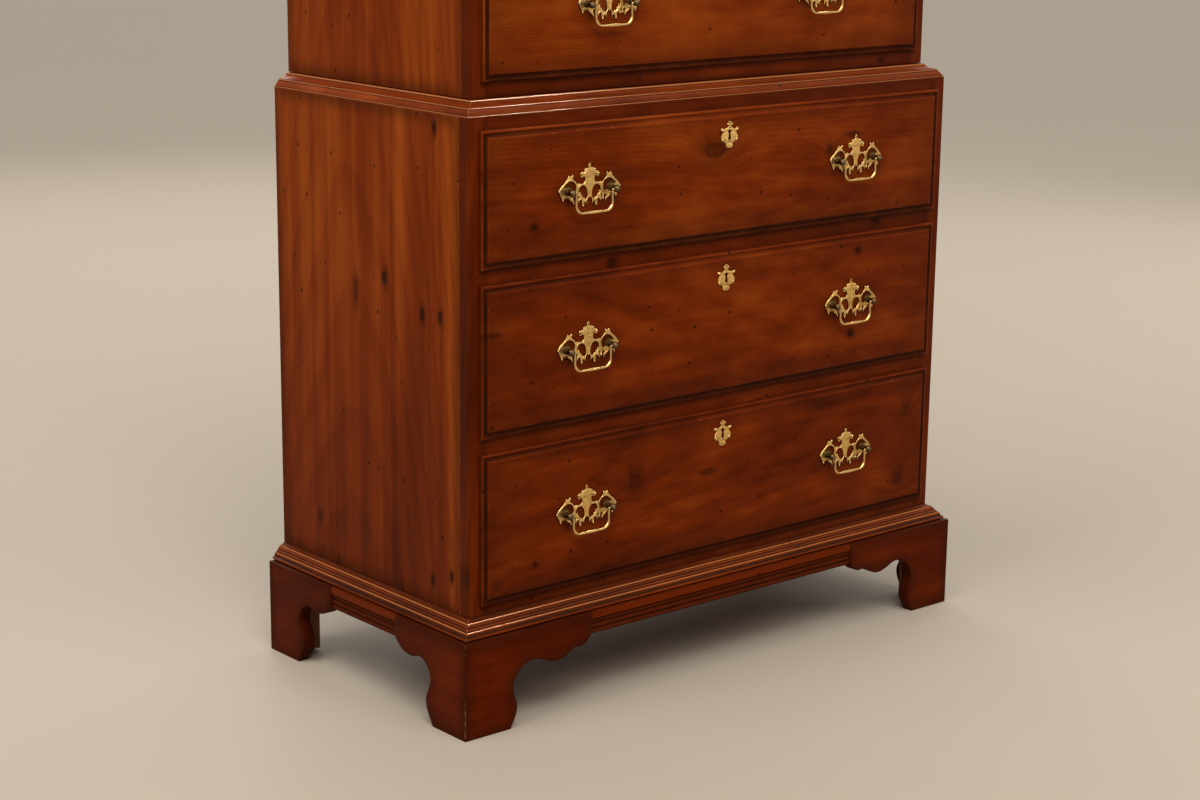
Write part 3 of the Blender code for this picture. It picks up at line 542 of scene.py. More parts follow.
def turned(name, profile, matrix, steps=24):
    """A body of revolution about the matrix's Z axis, from a profile of (radius, height) in millimetres."""
    turns = [2 * pi * step / steps for step in range(steps)]
    rings = []
    for radius, height in profile:
        radius, height = radius * MM, height * MM
        rings.append([matrix @ Vector((radius * cos(turn), radius * sin(turn), height)) for turn in turns])
    return loft(name, rings)


def upright(y):
    return Matrix.Translation((0, y, 0)) @ FORWARD


def sideways(x):
    return Matrix.Translation((x, 0, 0)) @ Matrix.Rotation(pi / 2, 4, "Z") @ FORWARD


def outline(points, across=MM, up=MM, start=0.0):
    """Bezier points of an outline. A third entry marks a corner point."""
    return [(start + p[0] * across, p[1] * up, "VECTOR" if len(p) > 2 else "AUTO") for p in points]


def mirrored(points):
    """A whole outline from its right half."""
    return outline(points + [(-point[0], *point[1:]) for point in reversed(points) if point[0] > 0])


def corner_loop(points):
    return [(across, up, "VECTOR") for across, up in points]


# Finish of a piece


def points_of(mesh):
    places = np.empty(len(mesh.vertices) * 3)
    mesh.vertices.foreach_get("co", places)
    return places.reshape(-1, 3)


def set_values(mesh, name, values, kind="FLOAT", field="value"):
    layer = mesh.attributes.get(name) or mesh.attributes.new(name, kind, "POINT")
    layer.data.foreach_set(field, np.asarray(values, np.float32).ravel())


def set_marks(mesh, glaze, wear):
    set_values(mesh, "glaze", glaze)
    set_values(mesh, "wear", wear)


# The axes along, across and into a board. A small letter names the axis of an unusual width.
GRAINS = {"X": (0, 2, 1), "Y": (1, 2, 0), "Z": (2, 1, 0), "Zx": (2, 0, 1), "Xy": (0, 1, 2)}


def dress(obj, material, grain="X", body="case", slot="stained_pine", replaced=(), shade=0.0):
    """Gives a finished mesh its grain, material and body. slot is not used.

    shade lightens it, for tone and for painted light: one value, or one at its lowest point and one at its
    highest.
    """
    mesh = obj.data
    places = points_of(mesh)
    height = places[:, 2]
    places = places[:, GRAINS[grain]]
    low, high = places.min(0), places.max(0)
    chance = random.Random(obj.name)
    heart = (chance.uniform(-0.45, 0.45) * (high - low)[1], chance.uniform(0.02, 0.07))
    middle = (low + high) / 2
    shift = np.array([chance.uniform(0, 40), heart[0] - middle[1], heart[1] - middle[2]])
    set_values(mesh, "grain", places + shift, "FLOAT_VECTOR", "vector")
    shades = np.interp(height, (height.min(), height.max()), np.broadcast_to(shade, 2))
    set_values(mesh, "shade", shades + chance.uniform(-0.02, 0.02))
    for name in ("glaze", "wear"):
        if name not in mesh.attributes:
            set_values(mesh, name, np.zeros(len(places)))
    mesh.materials.clear()
    mesh.materials.append(material)
    mesh.shade_smooth()
    mesh.set_sharp_from_angle(angle=radians(35))
    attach(obj, body)
    if replaced:
        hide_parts(*replaced)


def round_edges(shape, amount):
    sharp = radians(40)
    edges = [edge for edge in shape.edges if len(edge.link_faces) == 2 and edge.calc_face_angle(0) > sharp]
    bmesh.ops.bevel(
        shape, geom=edges, offset=amount, segments=2, profile=0.5, affect="EDGES", clamp_overlap=True
    )


def shade_box(mesh, low, high, dark, reach, worn):
    """Darkening that deepens towards the long edges of a board, and worn arrises."""
    places, low, high = points_of(mesh), np.array(low), np.array(high)
    near = np.minimum(places - low, high - places)
    wide = np.arange(3) != np.argmin(high - low)
    glaze = np.clip(1 - near[:, wide].min(1) / reach, 0, 1) * dark
    on_edge = (near < EDGE * 1.2).sum(1) >= 2
    set_marks(mesh, np.where(on_edge, glaze * 0.6, glaze), on_edge * worn)


def board(name, low, high, material, grain, dark=0.5, reach=22 * MM, worn=0.5, edge=EDGE, cuts=(),
          **dressing):
    """A planed board between two corners, with eased arrises, and darker near its edges."""
    low, high = in_order(low, high)
    shape = box_shape(low, high)
    for axis in range(3):
        for depth in (2.2 * MM, reach):
            if high[axis] - low[axis] >= 2.4 * depth:
                slice_at(shape, axis, low[axis] + depth)
                slice_at(shape, axis, high[axis] - depth)
    round_edges(shape, edge)
    obj = as_object(name, shape)
    if cuts:
        obj = combine(obj, cuts)
    shade_box(obj.data, low, high, dark, reach, worn)
    dress(obj, material, grain, **dressing)


# Case


def rows_of(tier):
    """The drawers of each row, from the lowest row up and from left to right."""
    rows = {}
    for name in DRAWERS:
        if name.startswith(tier):
            rows.setdefault(round(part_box(name + "_front")[0].z, 4), []).append(name)
    return [sorted(rows[key], key=lambda name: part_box(name + "_front")[0].x) for key in sorted(rows)]


def runner(names, tray, ledge_x, guide_x, start, end):
    """The ledge that a tray slides on and the guide beside it, each between two places across the case."""
    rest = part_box(tray)[0].z - PLAY
    plain = {"dark": 0.1, "worn": 0, "slot": "tray_wood"}
    board(names[0], (ledge_x[0], start, rest - LEDGE_THICK), (ledge_x[1], end, rest), PALE_PINE, "Y", **plain)
    board(names[1], (guide_x[0], start, rest + SEAM), (guide_x[1], end, rest + GUIDE_HEIGHT), PALE_PINE, "Y",
          reach=6 * MM, **plain)


def side_panel(tier, side, sign):
    """A side board with its back rebate, and the runners and guides that are fixed to it."""
    node = f"{tier}_side_{side}"
    low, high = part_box(node)
    (_, frame_high), (back_low, back_high) = TIERS[tier]
    outer = sign * frame_high.x
    inner = outer - sign * SIDE_BOARD
    past = 10 * MM
    rebate = block("rebate", (sign * (back_high.x + FACE_GAP), back_low.y - FACE_GAP, low.z - past),
                   (inner - sign * past, BACK_Y + past, high.z + past))
    # Painted light: the side is lighter towards its head
    board(node + "_board", (outer, low.y, low.z), (inner, BACK_Y, high.z), PINE_SIDE, "Z", dark=0.62,
          reach=24 * MM, worn=0.6, cuts=[rebate], replaced=[node], shade=SIDE_PAINTED_LIGHT[tier])
    for index, row in enumerate(rows_of(tier)):
        names = [f"{node}_{index}_{part}" for part in ("runner", "guide")]
        tray = row[-1 if sign > 0 else 0] + "_tray"
        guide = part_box(tray)[1 if sign > 0 else 0].x + sign * PLAY
        ledge_x, guide_x = (inner, guide - sign * LEDGE_REACH), (inner, guide)
        runner(names, tray, ledge_x, guide_x, low.y, LOWER_BACK[0].y - 2 * MM)


def face_frame(tier):
    """Stiles and rails, each a board of its own."""
    low, high = TIERS[tier][0]
    front, back = low.y, low.y + FRAME_THICK
    rows = rows_of(tier)
    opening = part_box(rows[0][-1] + "_front")[1].x - LIP_LAP

    def rail(name, start, end, dark):
        board(f"{tier}_rail_{name}", (-opening, front, start), (opening, back, end), PINE_FRAME, "X",
              dark=dark, reach=10 * MM, worn=0.3)

    for side, sign in SIDES:
        board(f"{tier}_stile_{side}", (sign * high.x, front, low.z), (sign * (opening + SEAM), back, high.z),
              PINE_FRAME, "Zx", dark=0.22, reach=6 * MM, worn=0.3,
              replaced=[tier + "_face_frame"] if side == "left" else ())
    level = low.z
    for index, row in enumerate(rows):
        bottom, top = [corner.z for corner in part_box(row[0] + "_front")]
        rail(index, level, bottom + LIP_LAP, 0.55)
        level = top - LIP_LAP
    rail("top", level, high.z, 0.5)
    if len(rows[-1]) > 1:
        left, right = [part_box(name + "_front") for name in rows[-1]]
        board(f"{tier}_centre_stile", (left[1].x - LIP_LAP, front, left[0].z + LIP_LAP + SEAM),
              (right[0].x + LIP_LAP, back, left[1].z - LIP_LAP - SEAM), PINE_FRAME, "Zx", reach=10 * MM)
        tray = rows[-1][0] + "_tray"
        guide = -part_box(tray)[1].x - PLAY
        ledge = guide + LEDGE_REACH
        runner(("centre_runner_ledge", "centre_runner_guide"), tray, (-ledge, ledge), (-guide, guide), back,
               UPPER_BACK[0].y - FACE_GAP)


def back_boards(tier):
    """Upright boards with a small V between them, and nails at three heights."""
    low, high = TIERS[tier][1]
    width = (high.x - low.x) / BACK_BOARDS
    turn = Matrix.Rotation(-pi / 2, 4, "X")
    heads = []
    for index in range(BACK_BOARDS):
        x = low.x + index * width
        board(f"{tier}_back_board_{index}", (x + SEAM, low.y, low.z),
              (x + width - SEAM, high.y - 0.6 * MM, high.z), BACK_PINE, "Zx", dark=0.35, reach=12 * MM,
              worn=0, edge=1.2 * MM, slot="back_panel", replaced=[tier + "_back"] if index == 0 else ())
        for across in (0.25, 0.75):
            for z in (low.z + 14 * MM, (low.z + high.z) / 2, high.z - 14 * MM):
                place = Matrix.Translation((x + across * width, high.y - 0.8 * MM, z))
                heads.append(turned("nail", ((0.1, 0), (3, 0), (2.8, 0.5), (0.1, 0.7)), place @ turn, 10))
    dress(joined(f"{tier}_back_nails", heads), STEEL, "Z", slot="back_panel")


# Mouldings. A profile runs upwards as (out, up, glaze, wear) in millimetres, out past the wall.

MITRE = ((SEAM, 1.0), (0.7 * MM, 0.5), (1.1 * MM, 0.0), (8 * MM, 0.0))  # distance from the cut, and how worn it is, which also paints a highlight on the mitre


def beside(start, end, shares, offsets):
    """Points at shares of a line from start to end, each moved outwards from it by an offset."""
    a, b = Vector(start), Vector(end)
    along = b - a
    side = Vector((along.y, -along.x)).normalized()
    return [a + along * share + side * offset for share, offset in zip(shares, offsets)]


def arc(start, end, sag, steps=8, glaze=0.0):
    """Points of a shallow arc that bows outwards by sag, or inwards where that is negative."""
    shares = [step / steps for step in range(steps + 1)]
    places = beside(start, end, shares, [4 * sag * share * (1 - share) for share in shares])
    return [(*place, glaze, 0) for place in places]


def reeded(start, end, count, rise):
    """A slope that is cut with fine reeds, dark between them with glazing and painted shade."""
    steps = range(6 * count)
    lifts = [max(0.0, sin(pi * (step % 6 - 1) / 4)) for step in steps]
    places = beside(start, end, [step / steps[-1] for step in steps], [rise * lift for lift in lifts])
    return [(*place, 1 - 0.95 * lift, 0) for place, lift in zip(places, lifts)]


# Dark values in the quirks paint shade there as well as glazing; full wear on the small facets paints
# highlight lines as well as worn arrises
BASE_PROFILE = [
    (18.6, 0, 1, 0), (18.6, 1.5, 1, 0), (21.6, 1.8, 0.8, 0.1), (22.3, 2.4, 0.2, 0.4), (22.4, 4.2, 0.1, 0.3),
    (21.9, 5.2, 0.4, 0.4), (20.9, 5.6, 1, 0), (19.4, 5.9, 1, 0), (18.7, 6.8, 1, 0), (18.1, 8.9, 0.8, 0),
    (17.5, 10, 0.2, 0.2), (17.4, 11.2, 0, 1), (16.3, 12.06, 0, 1), (15.2, 11.9, 1, 0),
    *reeded((14.7, 12.3), (9.1, 19.3), 2, 0.6),
    (8.8, 19.9, 0.6, 0.2), (8.7, 20.9, 0, 1), (7.5, 21.84, 0, 1), (6.5, 21.6, 0.8, 0),
    *arc((6, 22.1), (0.5, 24.8), -0.5, 5, 0.7),
    (0, 25.7, 1, 0),
]
WAIST_PROFILE = [
    (-0.2, 0, 0.6, 0.2), (0.1, 0.6, 0, 1), (-0.5, 1.24, 0, 1), (-1.5, 1.3, 1, 0),
    *arc((-2, 2.4), (-7, 9), 0.4, 6, 0.15),
    (-7.3, 9.6, 1, 0), (-7.4, 10.8, 0.2, 1), (-8, 11.44, 0, 1), (-9.1, 11.6, 0.9, 0),
    *arc((-10, 12.6), (-21.2, 16.8), -1, 7, 0.15),
    (-21.6, 17.4, 1, 0), (-21.7, 18.8, 0.1, 1), (-22.9, 20.09, 0, 1), (-24.4, 20.2, 0.4, 0.1),
    (-25.4, 20.8, 1, 0),
]


def crown_profile(reach, height):
    """Fillet, cove, ovolo and upper fillet of the cornice."""
    return [
        (0.16 * reach, 0, 0.6, 0.3),
        (0.16 * reach, 0.10 * height, 0.2, 0.3),
        *arc((0.20 * reach, 0.12 * height), (0.58 * reach, 0.46 * height), -0.07 * reach, glaze=0.15),
        (0.60 * reach, 0.49 * height, 0.9, 0),
        *arc((0.63 * reach, 0.52 * height), (0.90 * reach, 0.84 * height), 0.06 * reach),
        (0.93 * reach, 0.86 * height, 1, 0),
        (reach, 0.88 * height, 0.1, 0.8),
        (reach, height, 0.3, 0.4),
    ]


def moulding(name, half, front, floor, profile, depth, node):
    """Three lengths, mitred at the front corners and square at the back."""
    points = [(out * MM, floor + up * MM, glaze, wear) for out, up, glaze, wear in profile]
    points += [(-depth, points[-1][1], 0, 0), (-depth, points[0][1], 0, 0)]

    def ring(place):
        return [place(out, z) for out, z, _, _ in points]

    def marks_of(worn):
        return [(glaze, max(wear, worn * (out > -depth / 2))) for out, _, glaze, wear in points]

    rings, marks = [], []
    for sign, stations in ((-1, MITRE), (1, MITRE[::-1])):
        for inset, worn in stations:
            rings.append(ring(lambda out, z: (sign * (half + out - inset), front - out, z)))
            marks.append(marks_of(worn))
    dress(loft(name + "_front", rings, marks), PINE_TRIM, "X", replaced=[node])
    for side, sign in SIDES:
        rings = [ring(lambda out, z: (sign * (half + out), front - out + inset, z)) for inset, _ in MITRE]
        rings.append(ring(lambda out, z: (sign * (half + out), BACK_Y, z)))
        marks = [marks_of(worn) for _, worn in MITRE] + [marks_of(0.0)]
        dress(loft(f"{name}_{side}", rings, marks), PINE_TRIM, "Y")


def top_board():
    """One wide board whose front and side edges are rounded over."""
    low, high = TOP
    thick = high.z - low.z
    turns = [pi / 16 * step for step in range(9)]
    levels = [(1.6 * MM, 0, 0.3, 0.2), (0.3 * MM, 1.4 * MM, 0.1, 0.5)]
    third = thick / 3
    levels += [(third * (1 - cos(turn)), third * (2 + sin(turn)), 0, 0.45) for turn in turns]
    levels += [(18 * MM, thick, 0.25, 0), (60 * MM, thick, 0, 0)]
    rings = [
        [(low.x + inset, BACK_Y, low.z + up), (low.x + inset, low.y + inset, low.z + up),
         (high.x - inset, low.y + inset, low.z + up), (high.x - inset, BACK_Y, low.z + up)]
        for inset, up, _, _ in levels
    ]
    marks = [[(glaze, wear)] * 4 for _, _, glaze, wear in levels]
    dress(loft("top_panel", rings, marks), PINE_SIDE, "Xy", replaced=["top_board"])


def mouldings():
    half, front = LOWER_FRAME[1].x, LOWER_FRAME[0].y
    for level, (low, high), profile, depth, floor in (
        ("base", BASE, BASE_PROFILE, 40 * MM, "base_bottom"),
        ("waist", WAIST, WAIST_PROFILE, 60 * MM, "waist_panel"),
    ):
        moulding(level + "_moulding", half, front, low.z, profile, depth, level + "_board")
        inner = depth + SEAM
        board(floor, (inner - half, front + inner, low.z), (half - inner, BACK_Y, high.z), PINE_TRIM, "X",
              dark=0.3, worn=0)
    half, front = UPPER_FRAME[1].x, UPPER_FRAME[0].y
    reach, height = (CORNICE[1].x - half) / MM, (CORNICE[1].z - CORNICE[0].z) / MM
    moulding("cornice", half, front, CORNICE[0].z, crown_profile(reach, height), -FACE_GAP, "cornice")
    top_board()


# Feet and apron. Outlines run from a foot's outer corner as shares of its length and height.

FRONT_SCALLOP = [
    (0, 0, 1), (0.350, 0, 1), (0.402, 0.200), (0.376, 0.470), (0.490, 0.660), (0.730, 0.588),
    (0.865, 0.680, 1), (0.940, 0.682), (1, 0.780, 1), (1, 1, 1), (0, 1, 1),
]
SIDE_SCALLOP = [
    (0, 0, 1), (0.460, 0, 1), (0.558, 0.235), (0.495, 0.520), (0.620, 0.676), (0.770, 0.648),
    (0.900, 0.680), (1, 0.772, 1), (1, 1, 1), (0, 1, 1),
]
REAR_SLANT = [(0.154, 0, 1), (0.420, 0, 1), (0.560, 0.380), (1, 0.800, 1), (1, 1, 1), (0.154, 1, 1)]
CORNER_WEAR = ([0, 0.35, 0.5, 0.8, 1], [1, 1, 0.5, 0.5, 1])  # by share of a foot's height


def shade_rim(mesh, rim, axes, corner):
    """Darker near an outline, and worn along it and up the corner of two boards."""
    places = points_of(mesh)
    flat = places[:, axes]
    near = np.full(len(flat), 1.0)
    for start, end in zip(rim, np.roll(rim, -1, 0)):
        along = end - start
        share = np.clip((flat - start) @ along / max(along @ along, 1e-12), 0, 1)
        near = np.minimum(near, np.linalg.norm(start + share[:, None] * along - flat, axis=1))
    wear = (near < 1 * MM) * 0.4
    if corner:
        at_corner = np.linalg.norm(places[:, :2] - corner, axis=1) < 0.5 * MM
        wear = np.maximum(wear, at_corner * np.interp(places[:, 2] / FOOT_TOP, *CORNER_WEAR))
    set_marks(mesh, np.clip(1 - near / (22 * MM), 0, 1) * 0.7, wear)


def bracket(name, points, start, along, middle, cut=None, corner=None, replaced=()):
    """One shaped board of a foot. middle is the matrix of its mid plane."""
    loop = outline(points, along, FOOT_TOP, start)
    obj = plate_of(name, [loop], FOOT_THICK, middle, resolution=10, rounding=0.7 * MM)
    if cut:
        halve(obj, *cut)
    across = 0 if abs(middle[1][2]) > 0.5 else 1
    near_corner = [corner[across] - copysign(1.6 * MM, corner[across])] if corner else []
    grid(obj, (across, 2), 11 * MM, near_corner)
    shade_rim(obj.data, np.array([point[:2] for point in loop]), (across, 2), corner)
    dress(obj, PINE_FOOT, "XY"[across], replaced=replaced, shade=0.08)


def foot(end, side, sign):
    """Two shaped boards, mitred at a front corner and butted at a rear one, and a block behind them."""
    node = f"foot_{end}_{side}"
    low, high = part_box(node)
    face, inward = (FOOT[0].y, 1) if end == "front" else (BACK_Y, -1)
    outer = sign * FOOT[1].x
    corner = (outer, face)
    length, depth = -sign * (high.x - low.x), inward * (high.y - low.y)
    mid_x, mid_y = sideways(outer - sign * FOOT_THICK / 2), upright(face + inward * FOOT_THICK / 2)
    if end == "front":
        tilt = Vector((sign, 1, 0)).normalized()
        first, second = [(Vector((*corner, 0)) - turn * SEAM, turn) for turn in (tilt, -tilt)]
        bracket(node + "_front", FRONT_SCALLOP, outer, length, mid_y, first, corner, [node])
        bracket(node + "_side", SIDE_SCALLOP, face, depth, mid_x, second, corner)
    else:
        bracket(node + "_side", SIDE_SCALLOP, face, depth, mid_x, None, corner, [node])
        bracket(node + "_back", REAR_SLANT, outer - sign * SEAM, length, mid_y)
    insets = (FOOT_THICK + SEAM, FOOT_THICK + BLOCK_REACH)
    near, far = [(outer - sign * inset, face + inward * inset) for inset in insets]
    board(node + "_block", (*near, BLOCK_LIFT), (*far, APRON_BOTTOM - FACE_GAP), BACK_PINE, "Z",
          dark=0.2, worn=0, edge=1.5 * MM)


def reeds():
    """Section of the apron strip from its top down: a flat band, a quirk and three half-round reeds."""
    flat, band, rise, height = 1.5, 11.0, 2.2, 35.0
    section = [(1.9, 0, 0.5, 0.2), (flat, 0.5, 0.1, 0.4), (flat, 5.5, 0, 0), (flat, band - 0.7, 0.1, 0.5)]
    # The quirk and the hollows between reeds are dark as painted shade as well as glazing; each crest gets a
    # thin painted highlight
    section.append((2.2, band - 0.3, 0.9, 0))
    pitch = (height - band) / 3
    for top in [band + reed * pitch for reed in range(3)]:
        for share in [step / 8 for step in range(9)]:
            lift = sin(pi * (0.04 + 0.92 * share)) ** 0.8
            depth = flat + rise * (2 - 1.2 * lift)
            section.append((depth, top + 0.3 + (pitch - 0.6) * share, 1 - 0.45 * lift, 0.3 * (lift > 0.97)))
    return section


def apron_strip(name, place, span, grain):
    """place(along, depth, height) gives a point of the strip."""
    section = [(depth * MM, FOOT_TOP - down * MM, glaze, wear) for depth, down, glaze, wear in reeds()]
    section += [(FOOT_THICK - SEAM, APRON_BOTTOM, 0, 0), (FOOT_THICK - SEAM, FOOT_TOP, 0, 0)]
    rings = [[place(along, depth, z) for depth, z, _, _ in section] for along in span]
    marks = [[(glaze, wear) for _, _, glaze, wear in section]] * 2
    dress(loft(name, rings, marks), PINE_FOOT, grain, shade=0.3)


def apron():
    face, outer = FOOT[0].y, FOOT[1].x
    reach = FOOT[0].x - FACE_GAP
    apron_strip("apron_front", lambda along, depth, z: (along, face + depth, z), (-reach, reach), "X")
    span = (FOOT[1].y + FACE_GAP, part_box("foot_rear_right")[0].y - FACE_GAP)
    for side, sign in SIDES:
        apron_strip(f"apron_{side}", lambda along, depth, z: (sign * (outer - depth), along, z), span, "Y")
    inner = FOOT_THICK + FACE_GAP
    x, y = outer - inner, face + inner
    board("apron_rail_front", (-x, y, APRON_BOTTOM), (x, y + APRON_RAIL, FOOT_TOP), BACK_PINE, "X", worn=0,
          replaced=["apron_frame"])
    for side, sign in SIDES:
        board(f"apron_rail_{side}", (sign * x, y + APRON_RAIL + SEAM, APRON_BOTTOM),
              (sign * (x - APRON_RAIL), BACK_Y - inner, FOOT_TOP), BACK_PINE, "Y", worn=0)


# Drawers. A lip's profile is (inset, height off the frame, glaze, wear) in millimetres.

# The lip's outer wall and its cove are dark as painted shade as well as glazing; its bead and the panel's
# arris are lightened as worn edges with painted highlight
LIP = [
    (0, 0.3, 1, 0), (0, 3.4, 1, 0), (0.2, 4.5, 0.7, 0), (0.7, 5.5, 0.35, 0.4), (1.9, 6.3, 0.25, 0.4),
    (3.3, 6.6, 0.15, 0.1), (4.2, 6.4, 0.8, 0), (4.8, 5.6, 1, 0), (6.2, 5.2, 1, 0), (8.4, 5.7, 1, 0),
    (10.2, 6.9, 0.9, 0), (10.9, 7.6, 0.2, 0.55), (11.8, 8, 0, 0.55), (14, 8, 0.35, 0), (22, 8, 0.15, 0),
    (38, 8, 0, 0),
]
KEYHOLE = [(0, 7.6), (2.2, 6.8), (3.1, 4.7), (2.3, 2.7), (1.7, 1.4, 1), (3.0, -7.4, 1)]


def tails(low, high, count, root, tip):
    """Dovetails up an edge, each as four (along, up) points from its root out to its wider tip."""
    pitch = (high - low) / count
    corners = ((root, -0.26), (tip, -0.36), (tip, 0.36), (root, 0.26))
    middles = [low + (index + 0.5) * pitch for index in range(count)]
    return [[(along, middle + share * pitch) for along, share in corners] for middle in middles]


def socket_cutter(tail, outer, sign):
    """A dovetail's prism, a little larger than the tail, across the thickness of a tray side."""
    grow, past = 0.12 * MM, 4 * MM
    (root, low), (tip, wide_low), (_, wide_high), (_, high) = tail
    out = copysign(grow, tip - root)
    root, tip = root - 8 * out, tip + out
    points = [(root, low - grow), (tip, wide_low - grow), (tip, wide_high + grow), (root, high + grow)]
    thick = TRAY_SIDE + past
    middle = sideways(outer - sign * (thick / 2 - past))
    return plate_of("socket", [corner_loop(points)], thick + grow, middle)


def tray(name, low, high, fore, aft):
    """Dovetailed sides and back round a floor. fore and aft are the sides' dovetails."""
    rear = high.y - TRAY_SIDE
    edge = [(low.y, low.z), *[point for tail in fore for point in tail], (low.y, high.z), (rear, high.z)]
    edge += [*[point for tail in aft[::-1] for point in tail[::-1]], (rear, low.z)]
    cutters = []
    for (side, sign), outer in zip(SIDES, (low.x, high.x)):
        middle = sideways(outer - sign * TRAY_SIDE / 2)
        obj = plate_of(f"{name}_tray_{side}", [corner_loop(edge)], TRAY_SIDE, middle, rounding=0.5 * MM)
        dress(obj, PALE_PINE, "Y", name, "tray_wood", [name + "_tray"] if side == "left" else ())
        cutters += [socket_cutter(tail, outer, sign) for tail in aft]
    back = block(f"{name}_tray_back", (low.x, rear + SEAM, low.z), high)
    dress(combine(back, [joined("cutter", cutters)]), PALE_PINE, "X", name, "tray_wood")
    inner = TRAY_SIDE + SEAM
    under, over = TRAY_FLOOR
    board(f"{name}_tray_floor", (low.x + inner, low.y + SEAM, low.z + under),
          (high.x - inner, high.y - inner, low.z + over), PALE_PINE, "X", dark=0.25, reach=20 * MM, worn=0,
          body=name, slot="tray_wood")


def front_blank(name, low, high):
    """A lipped front, before its sockets and holes are cut."""
    wall = low.y + LIP_PROUD
    levels = [(LIP_CORE, wall + 12 * MM), (LIP_CORE, wall - FACE_GAP)]
    levels += [(inset * MM, wall - height * MM) for inset, height, _, _ in LIP]
    rings = [
        [(low.x + inset, y, low.z + inset), (high.x - inset, y, low.z + inset),
         (high.x - inset, y, high.z - inset), (low.x + inset, y, high.z - inset)]
        for inset, y in levels
    ]
    blank = loft(name + "_front_panel", rings)
    grid(blank, (0, 2), 14 * MM)
    return blank


def shade_front(mesh, low, high, pivots):
    """Darkening in the lip's quirks, partly painted shade, at the rim of the panel and round the pulls, and
    worn edges on the lip, partly painted highlight.
    """
    places = points_of(mesh)
    from_end = np.minimum(places[:, 0] - low.x, high.x - places[:, 0]) / MM
    from_bottom = (places[:, 2] - low.z) / MM
    inset = np.minimum(from_end, np.minimum(from_bottom, (high.z - places[:, 2]) / MM))
    insets, _, glazes_and_shades, wears_and_highlights = zip(*LIP[1:])
    on_panel = inset > 11.5
    glaze = np.interp(inset, insets, glazes_and_shades)
    glaze = np.maximum(glaze, np.interp(from_end, [12, 110], [0.35, 0]) * on_panel)
    glaze = np.maximum(glaze, np.interp(from_bottom, [12, 50], [0.45, 0]) * on_panel)
    # Painted shade on the bottom lip, which faces down
    glaze = np.maximum(glaze, 0.85 * (from_bottom < from_end) * (from_bottom < 5))

    # Painted light: the top lip faces up into the light, so it is kept lighter than the others, and its cove
    # lighter towards its middle.
    top = (from_end > inset) & (from_bottom > inset + 1)
    glaze = np.where(top & (inset > 0.4) & (inset < 4), glaze * 0.3, glaze)
    cove = top & (inset > 4) & (inset < 11)
    glaze = np.where(cove, glaze * np.interp(from_end, [10, 320], [0.85, 0.35]), glaze)

    # Darker round each post and below each plate
    for x, _, z in pivots:
        across, up = (places[:, 0] - x) / MM, (places[:, 2] - z) / MM
        at_posts = np.exp(-(((np.abs(across) - POST_SPACING / MM / 2) / 17) ** 2 + (up / 17) ** 2))
        under = np.exp(-((across / 46) ** 2 + ((up + 14) / 26) ** 2))
        glaze = np.maximum(glaze, (0.55 * at_posts + 0.3 * under) * on_panel)
    seen = places[:, 1] <= low.y + LIP_PROUD - 0.4 * MM
    set_marks(mesh, glaze * seen, np.interp(inset, insets, wears_and_highlights) * seen)


def drawer(name):
    low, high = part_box(name + "_front")
    tray_low, tray_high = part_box(name + "_tray")
    count = max(3, round((tray_high.z - tray_low.z) / TAIL_PITCH))
    fore = tails(low.z + LIP_CORE + 2 * MM, tray_high.z - 1 * MM, count, tray_low.y, tray_low.y - 9 * MM)
    aft = tails(tray_low.z + 2 * MM, tray_high.z - 2 * MM, count, tray_high.y - TRAY_SIDE, tray_high.y)
    tray(name, tray_low, tray_high, fore, aft)

    ends = ((low.x + LIP_CORE, -1), (high.x - LIP_CORE, 1))
    cutters = [socket_cutter(tail, outer, sign) for tail in fore for outer, sign in ends]
    bails = {body: PIVOTS[body] for body in frame["bodies"] if body.startswith(name + "_bail")}
    for x, _, z in bails.values():
        for sign in (-1, 1):
            start = Matrix.Translation((x + sign * POST_SPACING / 2, low.y + 40 * MM, z))
            cutters.append(turned("drill", ((2.5, 0), (2.5, 60)), start @ FORWARD, 16))
    shield = name + "_escutcheon"
    lock = ((low.x + high.x) / 2, low.y, high.z - KEYHOLE_DROP)
    if shield in frame["nodes"]:
        cutters.append(plate_of("slot", [mirrored(KEYHOLE)], 14 * MM, Matrix.Translation(lock) @ FORWARD))
    front = combine(front_blank(name, low, high), [joined("cutter", cutters)])
    shade_front(front.data, low, high, bails.values())
    # Painted light: set by each drawer's height, lightest near the top of the lower case
    shade = np.interp((low.z + high.z) / 2, *DRAWER_PAINTED_LIGHT)
    dress(front, PINE_FRONT, "X", name, "drawer_front_pine", [name + "_front"], shade)

    for bail, pivot in bails.items():
        pull(name, bail, pivot, low.y)
    if shield in frame["nodes"]:
        stamp(SHIELD, name + "_shield", lock, BRASS, name, [shield])


# Brass. Outlines are right halves in millimetres.

